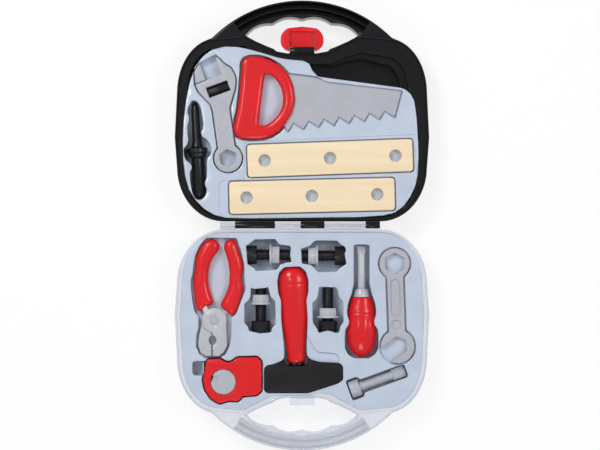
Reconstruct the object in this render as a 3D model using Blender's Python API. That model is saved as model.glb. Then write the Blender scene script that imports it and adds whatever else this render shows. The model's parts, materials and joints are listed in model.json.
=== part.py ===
"""Toy tool case, open flat: two hinged shells with trays, a latch and the toy tools that lie in them.

Metres, +Z up. The hinge line is the X axis, the black back shell lies at +Y and the clear front
shell at -Y, and both stand on z = 0.
"""
import math

import bmesh
import bpy
from mathutils import Matrix, Vector

# Case, both halves alike in plan
CASE_WIDTH = 0.288
CASE_DEPTH = 0.212
HANDLE_RISE = 0.0425
SHELL_HEIGHT = 0.036
CASE_WALL = 0.0024
CASE_FLOOR = 0.0024
HINGE_CLEARANCE = 0.0045
CORNER_WIDTH = 0.0525
CORNER_DEPTH = 0.0615
SHOULDER_WIDTH = 0.0455
SHOULDER_DEPTH = 0.062
BELLY = 0.0025
VALLEY_DEPTH = 0.0178
foot_spread_share = 0.7083
EDGE_ROUND = 0.003
RIM_ROUND = 0.0009
RIM_GAP = 0.00015

# Hand gap and grip
GRIP_WIDTH = 0.0213
gap_half_width_share = 0.4472
FINGER_GROOVE = 0.0036
FINGER_GROOVES = 4
STEP_AT = 0.0305
STEP_HEIGHT = 0.0024
valley_shares = (0.0, 0.35, 0.68, 1.0)
valley_curve_share = 0.85
GRIP_RIB = 0.0016
GRIP_FLOOR = 0.004
channel_half_width_share = 0.5417

# Ledges that carry the trays
LEDGE_HEIGHT = 0.0317
HINGE_BORDER = 0.0029
BACK_BORDER = 0.0095
FRONT_BORDER = 0.0055
LEDGE_LAP = 0.0018
BORDER_BLEND = 0.06
CORNER_LEDGE = 0.0095
CORNER_TERRACE = 0.0175
TERRACE_HEIGHT = 0.022
corner_start_share = (0.1, 0.655)
corner_blend_share = (0.45, 0.045)

# Hinge
KNUCKLE_RADIUS = 0.0036
HINGE_ROD_RADIUS = 0.0015
BARREL_LENGTH = 0.1808
BARREL_SHIFT = -0.0023
KNUCKLE_WEB = 0.0046
barrel_shares = (0.0, 0.094, 0.344, 0.504, 0.653, 0.91, 1.0)

# Latch
LATCH_WIDTH = 0.0486
LATCH_TOE = 0.0034
LATCH_REACH = 0.0249
LATCH_SETBACK = 0.012
LATCH_PIVOT_DROP = 0.0044
LATCH_PANEL = 0.0035
LATCH_OFFSET = 0.003
LATCH_FLANGE = 0.0029
LATCH_NECK = 0.002
LATCH_LIP = 0.0053
LATCH_LIP_RISE = 0.0042
LATCH_SIDE_RADIUS = 0.0125
LATCH_PIN_RADIUS = 0.0013
SEAT_WIDTH = 0.0282
SEAT_FACE = 0.0016
SEAT_HEIGHT = 0.0125
TAB_FACE = 0.0026

# Trays
TRAY_TOP = 0.033
TRAY_SHEET = 0.001
POCKET_CLEARANCE = 0.0008
BED_CLEARANCE = 0.0003
TOOL_PROUD = 0.001
CORNER_CUT_X = 0.0125
CORNER_CUT_Y = 0.170
CORNER_CUT_END_X = 0.1125
CORNER_CUT_END_Y = 0.1523
CORNER_CUT_LIFT = 0.0105

# Clearances between pieces
GAP = 0.0003
RUN = 0.0004
OVERRUN = 0.001

# Adjustable wrench
WRENCH_LENGTH = 0.1305
WRENCH_TURN = math.radians(8.2)
WRENCH_HEAD_TURN = math.radians(20)
WRENCH_THICKNESS = 0.011
WRENCH_SHANK_WIDTH = 0.0188
WRENCH_SHANK_REACH = 0.056
WRENCH_HEAD_WIDTH = 0.0455
WRENCH_END_RADIUS = 0.0156
WRENCH_HEX_RADIUS = 0.0106
JAW_OPENING = 0.0198
JAW_LEFT_OPEN = 0.001
JAW_NECK = 0.0026
JAW_BEAD = 0.0052
JAW_BEAD_TOP = 0.0036
JAW_RACK_DEPTH = 0.0073
JAW_TOOTH = 0.0009
JAW_TEETH = 8
JAW_TONGUE = 0.021
WINDOW_LENGTH = 0.0256
WINDOW_WIDTH = 0.0123
WINDOW_DEPTH = 0.0081
WINDOW_SHIFT = 0.003
WORM_RADIUS = 0.0054
WORM_FLUTE = 0.0006
WORM_FLUTES = 12
WORM_AXLE_RADIUS = 0.0014
WORM_AXLE_SEAT = 0.0035
wrench_place_share = (-0.581, 0.359)
wrench_head_share = (-0.052, 0.727)
wrench_right_shares = (
    (0.16, -0.47), (0.25, -0.30), (0.285, -0.15), (0.255, 0.07), (0.13, 0.22), (0.035, 0.43), (0.0, 0.445),
)
wrench_left_shares = ((-0.71, -0.02), (-0.69, -0.22), (-0.60, -0.42), (-0.52, -0.60))
moving_jaw_shares = ((-0.70, 0.01), (-0.435, 0.01), (-0.435, 0.40), (-0.47, 0.415), (-0.62, 0.29))

# Saw
SAW_HANDLE_HEIGHT = 0.093
SAW_HANDLE_THICKNESS = 0.0135
SAW_HANDLE_PROUD = 0.002
SAW_BLADE_LENGTH = 0.13
SAW_BLADE_THICKNESS = 0.002
SAW_BLADE_WIDTH = 0.0633
SAW_TIP_WIDTH = 0.0325
SAW_TIP_RAKE = 0.0044
SAW_HEEL = 0.0081
SAW_TOOTH = 0.0085
SAW_TEETH = 7
SAW_TURN = math.radians(-7.25)
SAW_RECESS_MARGIN = 0.0013
saw_place_share = (-0.502, 0.465)
saw_blade_place_share = (-0.11, 0.806)
saw_tooth_share = 0.4
saw_handle_shares = (
    (0.0, 0.0), (0.145, -0.018), (0.291, -0.018), (0.412, 0.024), (0.521, 0.097), (0.655, 0.303),
    (0.698, 0.465), (0.673, 0.642), (0.618, 0.776), (0.509, 0.891), (0.364, 0.97), (0.242, 1.0),
    (0.1, 0.995), (0.036, 0.945), (0.036, 0.824), (0.018, 0.582), (-0.012, 0.339), (-0.06, 0.145), (-0.06, 0.061),
)
saw_hole_shares = (
    (0.246, 0.155), (0.30, 0.155), (0.352, 0.167), (0.431, 0.222), (0.498, 0.301), (0.538, 0.392),
    (0.549, 0.501), (0.522, 0.617), (0.473, 0.702), (0.413, 0.763), (0.364, 0.786), (0.325, 0.784),
)

# Planks
plank_length_share = 0.6493
PLANK_WIDTH = 0.0365
PLANK_THICKNESS = 0.008
PLANK_CORNER = 0.003
PLANK_HOLE_RADIUS = 0.0071
plank_pitch_share = 0.3957
PLANK_UPPER_TURN = math.radians(2.1)
PLANK_LOWER_TURN = math.radians(1.4)
plank_upper_place_share = (0.2206, 0.3596)
plank_lower_place_share = (0.0785, 0.1574)

# Punch
PUNCH_LENGTH = 0.1098
PUNCH_COLLAR_RADIUS = 0.0118
PUNCH_TURN = math.radians(93)
punch_place_share = (-0.806, 0.141)
punch_shares = (
    (0.0, 0.20), (0.03, 0.50), (0.07, 0.62), (0.42, 0.62), (0.44, 0.86), (0.475, 0.86), (0.485, 1.0),
    (0.525, 1.0), (0.54, 0.56), (0.60, 0.42), (0.93, 0.38), (0.985, 0.24), (1.0, 0.12),
)
punch_pocket_shares = (
    (-0.01, 0.35), (0.02, 0.60), (0.07, 0.76), (0.40, 0.80), (0.42, 1.04), (0.555, 1.04), (0.60, 0.78),
    (0.92, 0.62), (0.975, 0.45), (1.01, 0.2),
)

# Bolts and nuts
BOLT_LENGTH = 0.0492
BOLT_HEAD_LENGTH = 0.0113
BOLT_HEAD_RADIUS = 0.0122
BOLT_SLOT = 0.0025
BOLT_SLOT_DEPTH = 0.003
BOLT_SHAFT_RADIUS = 0.0065
NUT_FLANGE_RADIUS = 0.0128
NUT_FLANGE = 0.0022
NUT_HEX_RADIUS = 0.0108
NUT_HEX_LENGTH = 0.0088
BOLT_POCKET_HALF_WIDTH = 0.0168
BOLT_POCKET_TIP_HALF_WIDTH = 0.0108
bolt_place_shares = ((-0.436, -0.157), (0.338, -0.162), (-0.325, -0.566), (0.204, -0.566))
bolt_turns = (0.0, math.pi, math.pi / 2, math.pi / 2)
nut_shares = (0.53, 0.62, 0.62, 0.31)
bolt_pocket_shares = (0.0, 0.08, 0.18, 0.70, 0.82, 1.0)

# Pliers
PLIERS_LENGTH = 0.131
PLIERS_THICKNESS = 0.009
PLIERS_GRIP_THICKNESS = 0.012
PLIERS_PIVOT_RADIUS = 0.003
PLIERS_PIVOT_HEAD = 0.0048
PLIERS_PIVOT_HEAD_HEIGHT = 0.0008
PLIERS_BOSS_RADIUS = 0.014
PLIERS_TANG_WIDTH = 0.006
PLIERS_TANG_THICKNESS = 0.0034
JAW_HOLE_HALF_WIDTH = 0.0045
JAW_HOLE_HALF_LENGTH = 0.0056
jaw_hole_share = (-0.013, -0.171)
pliers_place_share = (-0.69, -0.506)
left_grip_shares = (
    (-0.061, 0.686), (-0.104, 0.634), (-0.139, 0.566), (-0.16, 0.479), (-0.162, 0.402), (-0.182, 0.341),
    (-0.178, 0.264), (-0.165, 0.152), (-0.147, 0.087), (-0.096, 0.104), (-0.027, 0.147), (-0.01, 0.178),
    (-0.044, 0.264), (-0.057, 0.341), (-0.047, 0.428), (-0.018, 0.505), (0.025, 0.583), (0.042, 0.643),
    (0.021, 0.682),
)
right_grip_shares = (
    (0.128, 0.69), (0.09, 0.665), (0.081, 0.609), (0.103, 0.54), (0.128, 0.453), (0.137, 0.35),
    (0.124, 0.264), (0.085, 0.195), (0.029, 0.147), (0.068, 0.113), (0.15, 0.053), (0.18, 0.083),
    (0.215, 0.178), (0.249, 0.272), (0.238, 0.367), (0.24, 0.462), (0.21, 0.591), (0.18, 0.686),
)
right_jaw_shares = (
    (-0.012, -0.305), (0.038, -0.305), (0.081, -0.275), (0.111, -0.219), (0.107, -0.124), (0.10, 0.0),
    (-0.012, 0.0),
)
left_jaw_shares = (
    (-0.024, 0.0), (-0.10, 0.0), (-0.13, -0.141), (-0.136, -0.219), (-0.113, -0.275), (-0.07, -0.305),
    (-0.024, -0.305),
)
left_tang_shares = ((-0.045, 0.02), (-0.118, 0.20), (-0.118, 0.38))
right_tang_shares = ((0.06, 0.02), (0.175, 0.22), (0.185, 0.38))
pliers_pocket_shares = (
    (-0.066, 0.706), (-0.117, 0.643), (-0.152, 0.57), (-0.172, 0.479), (-0.177, 0.41), (-0.195, 0.341),
    (-0.191, 0.255), (-0.177, 0.143), (-0.16, 0.07), (-0.128, 0.04), (-0.128, -0.064), (-0.147, -0.133),
    (-0.149, -0.228), (-0.122, -0.288), (-0.074, -0.321), (0.047, -0.321), (0.094, -0.288), (0.127, -0.219),
    (0.141, -0.133), (0.141, 0.022), (0.184, 0.061), (0.228, 0.173), (0.265, 0.272), (0.252, 0.367),
    (0.254, 0.466), (0.225, 0.6), (0.191, 0.703),
)

# Hammer
HAMMER_HEAD_LENGTH = 0.0876
HAMMER_HEAD_THICKNESS = 0.022
HAMMER_HANDLE_LENGTH = 0.1096
HAMMER_HANDLE_WIDTH = 0.0335
HAMMER_HANDLE_THICKNESS = 0.0222
HAMMER_HANDLE_TURN = math.radians(92.5)
HAMMER_FERRULE = 0.0034
HAMMER_TANG_RADIUS = 0.0042
HAMMER_TANG_LENGTH = 0.016
hammer_place_share = (0.012, -0.8133)
hammer_neck_share = (-0.09, 0.155)
hammer_head_shares = (
    (-0.47, -0.186), (0.055, -0.186), (0.445, -0.06), (0.50, -0.02), (0.50, 0.146), (0.455, 0.185),
    (0.205, 0.197), (0.07, 0.235), (0.045, 0.15), (-0.225, 0.15), (-0.25, 0.215), (-0.47, 0.15), (-0.499, 0.12),
    (-0.499, -0.155),
)
hammer_grip_shares = (
    (0.0, 0.6), (0.15, 0.68), (0.3, 0.76), (0.45, 0.84), (0.54, 0.82), (0.64, 0.8), (0.72, 0.96), (0.84, 1.0),
    (0.93, 0.86), (0.98, 0.5),
)

# Screwdriver
DRIVER_GRIP_LENGTH = 0.0683
DRIVER_GRIP_RADIUS = 0.0173
DRIVER_GRIP_THICKNESS = 0.0246
DRIVER_FERRULE_LENGTH = 0.0095
DRIVER_FERRULE_RADIUS = 0.0098
DRIVER_SHAFT_LENGTH = 0.058
DRIVER_SHAFT_RADIUS = 0.0048
DRIVER_TANG = 0.012
DRIVER_TIP = 0.008
DRIVER_TIP_THICKNESS = 0.0022
driver_place_share = (0.4686, -0.3835)
driver_grip_shares = (
    (0.0, 0.65), (0.12, 0.80), (0.24, 0.86), (0.31, 0.82), (0.38, 0.72), (0.46, 0.74), (0.54, 0.97),
    (0.64, 1.0), (0.84, 1.0), (0.93, 0.82), (0.985, 0.45),
)

# Ring and open spanner
SPANNER_SPAN = 0.0939
SPANNER_THICKNESS = 0.0065
SPANNER_RING_RADIUS = 0.0172
SPANNER_HEX_RADIUS = 0.0122
SPANNER_JAW_RADIUS = 0.0192
SPANNER_MOUTH_HALF_WIDTH = 0.0099
SPANNER_SHANK_WIDTH = 0.0184
SPANNER_MOUTH_TURN = math.radians(216)
SPANNER_TURN = math.radians(-87.9)
spanner_place_share = (0.7268, -0.2027)

# Tape measure
TAPE_LENGTH = 0.0645
TAPE_THICKNESS = 0.0245
TAPE_WALL = 0.0018
TAPE_CORNER = 0.002
TAPE_DIAL_RADIUS = 0.0141
TAPE_DIAL_THICKNESS = 0.0022
TAPE_DIAL_SUNK = 0.0006
TAPE_DIMPLE_RADIUS = 0.0034
TAPE_DIMPLE_DEPTH = 0.0014
TAPE_HUB_RADIUS = 0.005
TAPE_ROLL_RADIUS = 0.0149
TAPE_WIDTH = 0.012
TAPE_STRIP = 0.0006
TAPE_HOOK = 0.0012
TAPE_HOOK_WIDTH = 0.013
TAPE_HOOK_HEIGHT = 0.015
TAPE_PULL_ROOM = 0.0098
tape_place_share = (-0.618, -0.8346)
tape_dimple_share = (-0.152, 0.05)
tape_mouth_share = -0.345
tape_case_shares = (
    (-0.286, 0.393), (-0.321, 0.218), (-0.356, 0.042), (-0.321, -0.133), (-0.216, -0.291), (-0.067, -0.379),
    (0.10, -0.326), (0.258, -0.335), (0.346, -0.247), (0.591, -0.228), (0.67, -0.151), (0.67, 0.358),
    (0.591, 0.437), (0.24, 0.428), (0.17, 0.367), (0.10, 0.34), (0.03, 0.354), (-0.058, 0.41),
)

# Slotted pin
PIN_HEAD_RADIUS = 0.0104
PIN_HEAD_LENGTH = 0.0113
PIN_SHAFT_RADIUS = 0.0053
PIN_LENGTH = 0.0655
PIN_TIP_LENGTH = 0.015
PIN_TIP_WIDTH = 0.0124
PIN_TIP_THICKNESS = 0.005
PIN_TURN = math.radians(19.8)
pin_place_share = (0.38, -0.88)

# Facets
CORNER_STEPS = 12
ROUND_STEPS = 3
BORE_SIDES = 12
TURNED_SIDES = 14
GRIP_STEPS = 14
GROOVE_STEPS = 5

# Values worked out from the ones above
HALF_WIDTH = CASE_WIDTH / 2
HINGE_Z = SHELL_HEIGHT
RIM_Z = SHELL_HEIGHT - RIM_GAP
HANDLE_REACH = CASE_DEPTH + HANDLE_RISE
FOOT_SPREAD = foot_spread_share * HALF_WIDTH
GAP_HALF_WIDTH = gap_half_width_share * HALF_WIDTH
GRIP_CHANNEL_HALF_WIDTH = channel_half_width_share * HALF_WIDTH
PLANK_LENGTH = plank_length_share * CASE_WIDTH
PLANK_HOLE_PITCH = plank_pitch_share * PLANK_LENGTH
LATCH_PIVOT_Y = CASE_DEPTH - LATCH_SETBACK
GRIP_RADIUS = (FOOT_SPREAD**2 + HANDLE_RISE**2) / (2 * HANDLE_RISE)
GRIP_CENTRE = (0.0, HANDLE_REACH - GRIP_RADIUS)
GAP_RADIUS = GRIP_RADIUS - GRIP_WIDTH
LATCH_PIVOT_Z = RIM_Z - LATCH_PIVOT_DROP
TOOL_TOP = TRAY_TOP + TOOL_PROUD
BORE_GROWTH = 1 / math.cos(math.pi / BORE_SIDES)


# Meshes and outlines

def clear_scene():
    """Empty the file of everything that it opened with."""
    for item in list(bpy.data.objects):
        bpy.data.objects.remove(item)


def make_material(name, colour, roughness, metallic=0.0, alpha=1.0):
    """One Principled material with a plain colour."""
    material = bpy.data.materials.new(name)
    material.use_nodes = True
    shader = material.node_tree.nodes["Principled BSDF"]
    shader.inputs["Base Color"].default_value = (*colour, 1.0)
    shader.inputs["Roughness"].default_value = roughness
    shader.inputs["Metallic"].default_value = metallic
    shader.inputs["Alpha"].default_value = alpha
    material.diffuse_color = (*colour, alpha)
    return material


def arc(centre, radius, start, end, steps):
    """Points along a circular or elliptical arc, both ends included."""
    wide, deep = radius if isinstance(radius, tuple) else (radius, radius)
    turns = [start + (end - start) * i / steps for i in range(steps + 1)]
    return [(centre[0] + wide * math.cos(t), centre[1] + deep * math.sin(t)) for t in turns]


def circle(centre, radius, sides, turn=0.0):
    """A regular polygon, one point per side."""
    return arc(centre, radius, turn, turn + 2 * math.pi, sides)[:-1]


def rounded(corners, radius, steps=ROUND_STEPS):
    """A polygon whose corners are arcs, each kept within its two sides."""
    outline = []
    for i, corner in enumerate(corners):
        here = Vector(corner)
        before = Vector(corners[i - 1]) - here
        after = Vector(corners[(i + 1) % len(corners)]) - here
        half = before.angle(after) / 2
        reach = min(radius / math.tan(half), before.length * 0.45, after.length * 0.45)
        start = here + before.normalized() * reach
        end = here + after.normalized() * reach
        for step in range(steps + 1):
            share = step / steps
            point = start.lerp(here, share).lerp(here.lerp(end, share), share)
            outline.append((point.x, point.y))
    return outline


def grown(outline, distance):
    """The outline moved outward, by one distance or by one per point."""
    ring = []
    for i, point in enumerate(outline):
        here = Vector(point)
        ahead = (Vector(outline[(i + 1) % len(outline)]) - here).normalized()
        behind = (here - Vector(outline[i - 1])).normalized()
        side = Vector((ahead.y + behind.y, -ahead.x - behind.x)).normalized()
        spread = max(0.5, side.dot(Vector((ahead.y, -ahead.x))))
        step = distance[i] if isinstance(distance, list) else distance
        ring.append(tuple(here + side * (step / spread)))
    return ring


def scaled(shares, size):
    """Points given as shares of one size."""
    return [(x * size, y * size) for x, y in shares]


def placed(outline, place, turn=0.0):
    """The outline turned about its origin and moved to its place."""
    cosine, sine = math.cos(turn), math.sin(turn)
    return [(place[0] + x * cosine - y * sine, place[1] + x * sine + y * cosine) for x, y in outline]


def at(share):
    """A place in the case from its shares of the half width and the depth."""
    return (share[0] * HALF_WIDTH, share[1] * CASE_DEPTH)


def mirrored(outline):
    """The outline on the other side of the hinge line, still anticlockwise."""
    return [(x, -y) for x, y in reversed(outline)]


def loft(rings):
    """A closed solid through rings of equal length, capped at both ends."""
    mesh = bmesh.new()
    layers = [[mesh.verts.new(point) for point in ring] for ring in rings]
    count = len(rings[0])
    for low, high in zip(layers, layers[1:]):
        for i in range(count):
            j = (i + 1) % count
            mesh.faces.new((low[i], low[j], high[j], high[i]))
    mesh.faces.new(reversed(layers[0]))
    mesh.faces.new(layers[-1])
    bmesh.ops.recalc_face_normals(mesh, faces=mesh.faces)
    return mesh


def prism(outline, low, high):
    """A plan outline raised from one height to another."""
    return loft([[(x, y, z) for x, y in outline] for z in (low, high)])


def turned(profile, sides, flat=1.0):
    """A solid turned about X from (along, radius) pairs, its height scaled by flat."""
    angles = [2 * math.pi * (i + 0.5) / sides for i in range(sides)]
    return loft([[(x, -r * math.cos(t), r * math.sin(t) * flat) for t in angles] for x, r in profile])


def moved(mesh, place, turn=0.0, height=0.0):
    """The mesh turned about Z and moved to its place."""
    matrix = Matrix.Translation((place[0], place[1], height)) @ Matrix.Rotation(turn, 4, "Z")
    bmesh.ops.transform(mesh, matrix=matrix, verts=mesh.verts)
    return mesh


def add_object(name, mesh, material=None, origin=(0.0, 0.0, 0.0)):
    """An object from a mesh in world places, with its origin where it turns."""
    bmesh.ops.translate(mesh, vec=-Vector(origin), verts=mesh.verts)
    data = bpy.data.meshes.new(name)
    mesh.to_mesh(data)
    mesh.free()
    item = bpy.data.objects.new(name, data)
    item.location = origin
    bpy.context.scene.collection.objects.link(item)
    if material:
        data.materials.append(material)
        smooth(data)
    return item


def smooth(data):
    """Shade the round faces smooth and keep the sharp edges."""
    data.shade_smooth()
    data.set_sharp_from_angle(angle=math.radians(32))


def combine(item, mesh, operation):
    """Cut a mesh from an object or join it on, and drop the helper."""
    helper = add_object("helper", mesh)
    boolean = item.modifiers.new(operation.title(), "BOOLEAN")
    boolean.operation = operation
    boolean.object = helper
    bpy.context.view_layer.update()
    evaluated = item.evaluated_get(bpy.context.evaluated_depsgraph_get())
    result = bpy.data.meshes.new_from_object(evaluated)
    item.modifiers.clear()
    smooth(result)
    item.data = result
    bpy.data.objects.remove(helper)
    return item


def cut(item, mesh):
    """Cut a mesh from an object."""
    return combine(item, mesh, "DIFFERENCE")


def join(item, mesh):
    """Join a mesh onto an object."""
    return combine(item, mesh, "UNION")


def rod(start, length, radius, sides, turn=0.0):
    """A round bar along X, turned about Z at its start."""
    bar = turned([(0.0, radius), (length, radius)], sides)
    return moved(bar, start[:2], turn, start[2])


# Case outlines

def body_half():
    """Right half of the case's body, from the hinge side's middle round to the valley's middle."""
    corner = (HALF_WIDTH - BELLY - CORNER_WIDTH, HINGE_CLEARANCE + CORNER_DEPTH)
    shoulder = (HALF_WIDTH - BELLY - SHOULDER_WIDTH, CASE_DEPTH - SHOULDER_DEPTH)
    points = arc(corner, (CORNER_WIDTH, CORNER_DEPTH), -math.pi / 2, 0.0, CORNER_STEPS)
    points.append((HALF_WIDTH, (corner[1] + shoulder[1]) * 0.46))
    points += arc(shoulder, (SHOULDER_WIDTH, SHOULDER_DEPTH), 0.0, math.pi / 2, CORNER_STEPS)
    return points


def valley_half(stepped=True):
    """Right half of the body's edge under the hand gap, from the gap's tip to its middle."""
    valley = CASE_DEPTH - VALLEY_DEPTH
    foot = valley + STEP_HEIGHT
    tip = gap_tip()
    rise = tip[1] - foot - STEP_HEIGHT
    run = tip[0] - STEP_AT
    points = [(tip[0] - run * share, tip[1] - rise * share**valley_curve_share) for share in valley_shares]
    if stepped:
        points.append((STEP_AT - STEP_HEIGHT * 0.3, foot + STEP_HEIGHT * 0.2))
    else:
        points[-1] = (STEP_AT, foot)
    return points + [(SEAT_WIDTH * 0.6, valley + STEP_HEIGHT * 0.2)]


def gap_tip():
    """Right tip of the hand gap, on the grip's inner arc."""
    return (GAP_HALF_WIDTH, GRIP_CENTRE[1] + math.sqrt(GAP_RADIUS**2 - GAP_HALF_WIDTH**2))


def whole(half):
    """Both halves of an outline from its right half, anticlockwise."""
    return half + [(-x, y) for x, y in reversed(half)]


def body_outline():
    """The case's body without its handle."""
    return whole(body_half() + valley_half(False))


def shell_outline():
    """The case's body with the outer edge of its handle."""
    spread = math.asin(FOOT_SPREAD / GRIP_RADIUS)
    grip = arc(GRIP_CENTRE, GRIP_RADIUS, math.pi / 2 - spread, math.pi / 2, GRIP_STEPS)
    body = [point for point in body_half() if point[0] > FOOT_SPREAD + EDGE_ROUND or point[1] < HALF_WIDTH]
    half = body + grip
    return half + [(-x, y) for x, y in reversed(half[:-1])]


def gap_outline():
    """The hand gap: finger grooves above and the body's edge below."""
    spread = math.asin(GAP_HALF_WIDTH / GAP_RADIUS)
    steps = FINGER_GROOVES * GROOVE_STEPS
    points = []
    for i in range(1, steps):
        share = i / steps
        radius = GAP_RADIUS + FINGER_GROOVE * abs(math.sin(share * math.pi * FINGER_GROOVES))
        turn = math.pi / 2 - spread + 2 * spread * share
        points.append((GRIP_CENTRE[0] + radius * math.cos(turn), GRIP_CENTRE[1] + radius * math.sin(turn)))
    lower = valley_half()
    return points + [(-x, y) for x, y in lower] + lower[::-1]


def border_widths(outline, side_border):
    """Width of the bare border at each point: narrow at the hinge, wider at the sides."""
    widths = []
    for _, y in outline:
        share = min(1.0, max(0.0, (y - HINGE_CLEARANCE) / BORDER_BLEND))
        widths.append(HINGE_BORDER + (side_border - HINGE_BORDER) * share)
    return widths


def corner_weight(point):
    """One in the corner that the back tray leaves bare, and zero away from it."""
    across = (point[0] / HALF_WIDTH - corner_start_share[0]) / corner_blend_share[0]
    along = (point[1] / CASE_DEPTH - corner_start_share[1]) / corner_blend_share[1]
    return min(1.0, max(0.0, across)) * min(1.0, max(0.0, along))


def inset_body(widths):
    """The body's outline drawn in by one width per point."""
    return grown(body_outline(), [-width for width in widths])


def ledge_widths(side_border, corner_width):
    """Inner edge of a ledge: the border, its lap under the tray and any width added in the corner."""
    outline = body_outline()
    widths = border_widths(outline, side_border)
    return [width + LEDGE_LAP + corner_width * corner_weight(point) for width, point in zip(widths, outline)]


# Case parts

def shell_blank(name, material, side_border, corner_ledge, corner_terrace):
    """One shell without its hinge and latch parts, at +Y."""
    outline = shell_outline()
    levels = ((0.0, EDGE_ROUND), (EDGE_ROUND, RIM_ROUND), (RIM_Z - EDGE_ROUND, 0.0), (RIM_Z, RIM_ROUND))
    rings = [[(x, y, z) for x, y in grown(outline, -inset)] for z, inset in levels]
    shell = add_object(name, loft(rings), material)
    cut(shell, prism(gap_outline(), -OVERRUN, SHELL_HEIGHT + OVERRUN))
    count = len(body_outline())
    top = RIM_Z + OVERRUN
    cut(shell, prism(inset_body([CASE_WALL] * count), LEDGE_HEIGHT, top))
    upper = inset_body(ledge_widths(side_border, corner_ledge))
    lower = inset_body(ledge_widths(side_border, corner_terrace))
    cut(shell, prism(upper, TERRACE_HEIGHT, top))
    cut(shell, prism(grown(lower, -GAP / 2), CASE_FLOOR, top - OVERRUN / 2))
    for inner, outer in channel_radii():
        cut(shell, prism(channel_outline(inner, outer), GRIP_FLOOR, top))
    return shell


def channel_radii():
    """Inner and outer radius of each of the two channels in a grip."""
    inner = GAP_RADIUS + FINGER_GROOVE + CASE_WALL
    outer = GRIP_RADIUS - CASE_WALL
    middle = (inner + outer) / 2
    return ((inner, middle - GRIP_RIB / 2), (middle + GRIP_RIB / 2, outer))


def channel_outline(inner, outer):
    """One channel's plan, square at its ends."""
    spread = math.asin(GRIP_CHANNEL_HALF_WIDTH / GRIP_RADIUS)
    start, end = math.pi / 2 - spread, math.pi / 2 + spread
    steps = 2 * GRIP_STEPS - 2
    return arc(GRIP_CENTRE, outer, start, end, steps) + arc(GRIP_CENTRE, inner, end, start, steps)


def add_knuckles(shell, first, side):
    """Every second knuckle of the hinge, with its web, joined to a shell at +Y (side 1) or -Y."""
    start = BARREL_SHIFT - BARREL_LENGTH / 2
    marks = [start + BARREL_LENGTH * share for share in barrel_shares]
    for low, high in list(zip(marks, marks[1:]))[first::2]:
        low, high = low + GAP / 2, high - GAP / 2
        web_end = side * (HINGE_CLEARANCE + CASE_WALL / 2)
        corners = [(low, 0.0), (high, 0.0), (high, web_end), (low, web_end)]
        web = prism(corners if side > 0 else corners[::-1], RIM_Z - KNUCKLE_WEB, RIM_Z - GAP)
        join(shell, web)
        join(shell, rod((low - GAP / 4, 0.0, HINGE_Z), high - low + GAP / 2, KNUCKLE_RADIUS, BORE_SIDES))
    bore = (HINGE_ROD_RADIUS + GAP) * BORE_GROWTH
    cut(shell, rod((start - OVERRUN, 0.0, HINGE_Z), BARREL_LENGTH + 2 * OVERRUN, bore, BORE_SIDES))


def make_back_shell(material):
    """Black shell with the latch's seat."""
    shell = shell_blank("back_shell", material, BACK_BORDER, CORNER_LEDGE, CORNER_TERRACE)
    add_knuckles(shell, 1, 1)
    valley = CASE_DEPTH - VALLEY_DEPTH
    half = SEAT_WIDTH / 2
    face = LATCH_PIVOT_Y + SEAT_FACE
    corners = [(-half, valley - CASE_WALL / 2), (half, valley - CASE_WALL / 2), (half, face), (-half, face)]
    join(shell, prism(corners, RIM_Z - SEAT_HEIGHT, RIM_Z - GAP))
    bore = (LATCH_PIN_RADIUS + GAP) * BORE_GROWTH
    cut(shell, rod((-half - OVERRUN, LATCH_PIVOT_Y, LATCH_PIVOT_Z), SEAT_WIDTH + 2 * OVERRUN, bore, BORE_SIDES))
    return shell


def make_front_shell(material):
    """Clear shell with the tab that the latch hooks over."""
    shell = shell_blank("front_shell", material, FRONT_BORDER, 0.0, 0.0)
    flip = Matrix.Scale(-1, 4, (0.0, 1.0, 0.0))
    shell.data.transform(flip)
    shell.data.flip_normals()
    add_knuckles(shell, 0, -1)
    valley = CASE_DEPTH - VALLEY_DEPTH
    half = SEAT_WIDTH / 2
    face = LATCH_PIVOT_Y + TAB_FACE
    hook = LATCH_REACH - LATCH_LIP - LATCH_PIVOT_DROP - 2 * RIM_GAP - GAP
    corners = [(-half, -face), (half, -face), (half, CASE_WALL / 2 - valley), (-half, CASE_WALL / 2 - valley)]
    join(shell, prism(corners, RIM_Z - hook, RIM_Z - GAP / 3))
    shell.location = (0.0, 0.0, HINGE_Z)
    shell.data.transform(Matrix.Translation((0.0, 0.0, -HINGE_Z)))
    return shell


def make_hinge_rod(material):
    """Steel rod through every knuckle."""
    start = BARREL_SHIFT - BARREL_LENGTH / 2 + GAP
    mesh = rod((start, 0.0, HINGE_Z), BARREL_LENGTH - 2 * GAP, HINGE_ROD_RADIUS, BORE_SIDES)
    return add_object("hinge_rod", mesh, material)


def latch_outline():
    """Plan of the latch: round sides, a flat toe and a shallow arc at its free end."""
    half = LATCH_WIDTH / 2
    toe = LATCH_PIVOT_Y - LATCH_TOE
    end = LATCH_PIVOT_Y + LATCH_REACH
    side = [(half * 0.62, toe), (half, toe + LATCH_SIDE_RADIUS * 0.5), (half, end - LATCH_SIDE_RADIUS * 0.8)]
    side.append((half * 0.72, end - LATCH_LIP * 0.35))
    corners = side + [(0.0, end)] + [(-x, y) for x, y in reversed(side)]
    return rounded(corners, LATCH_SIDE_RADIUS)


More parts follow.
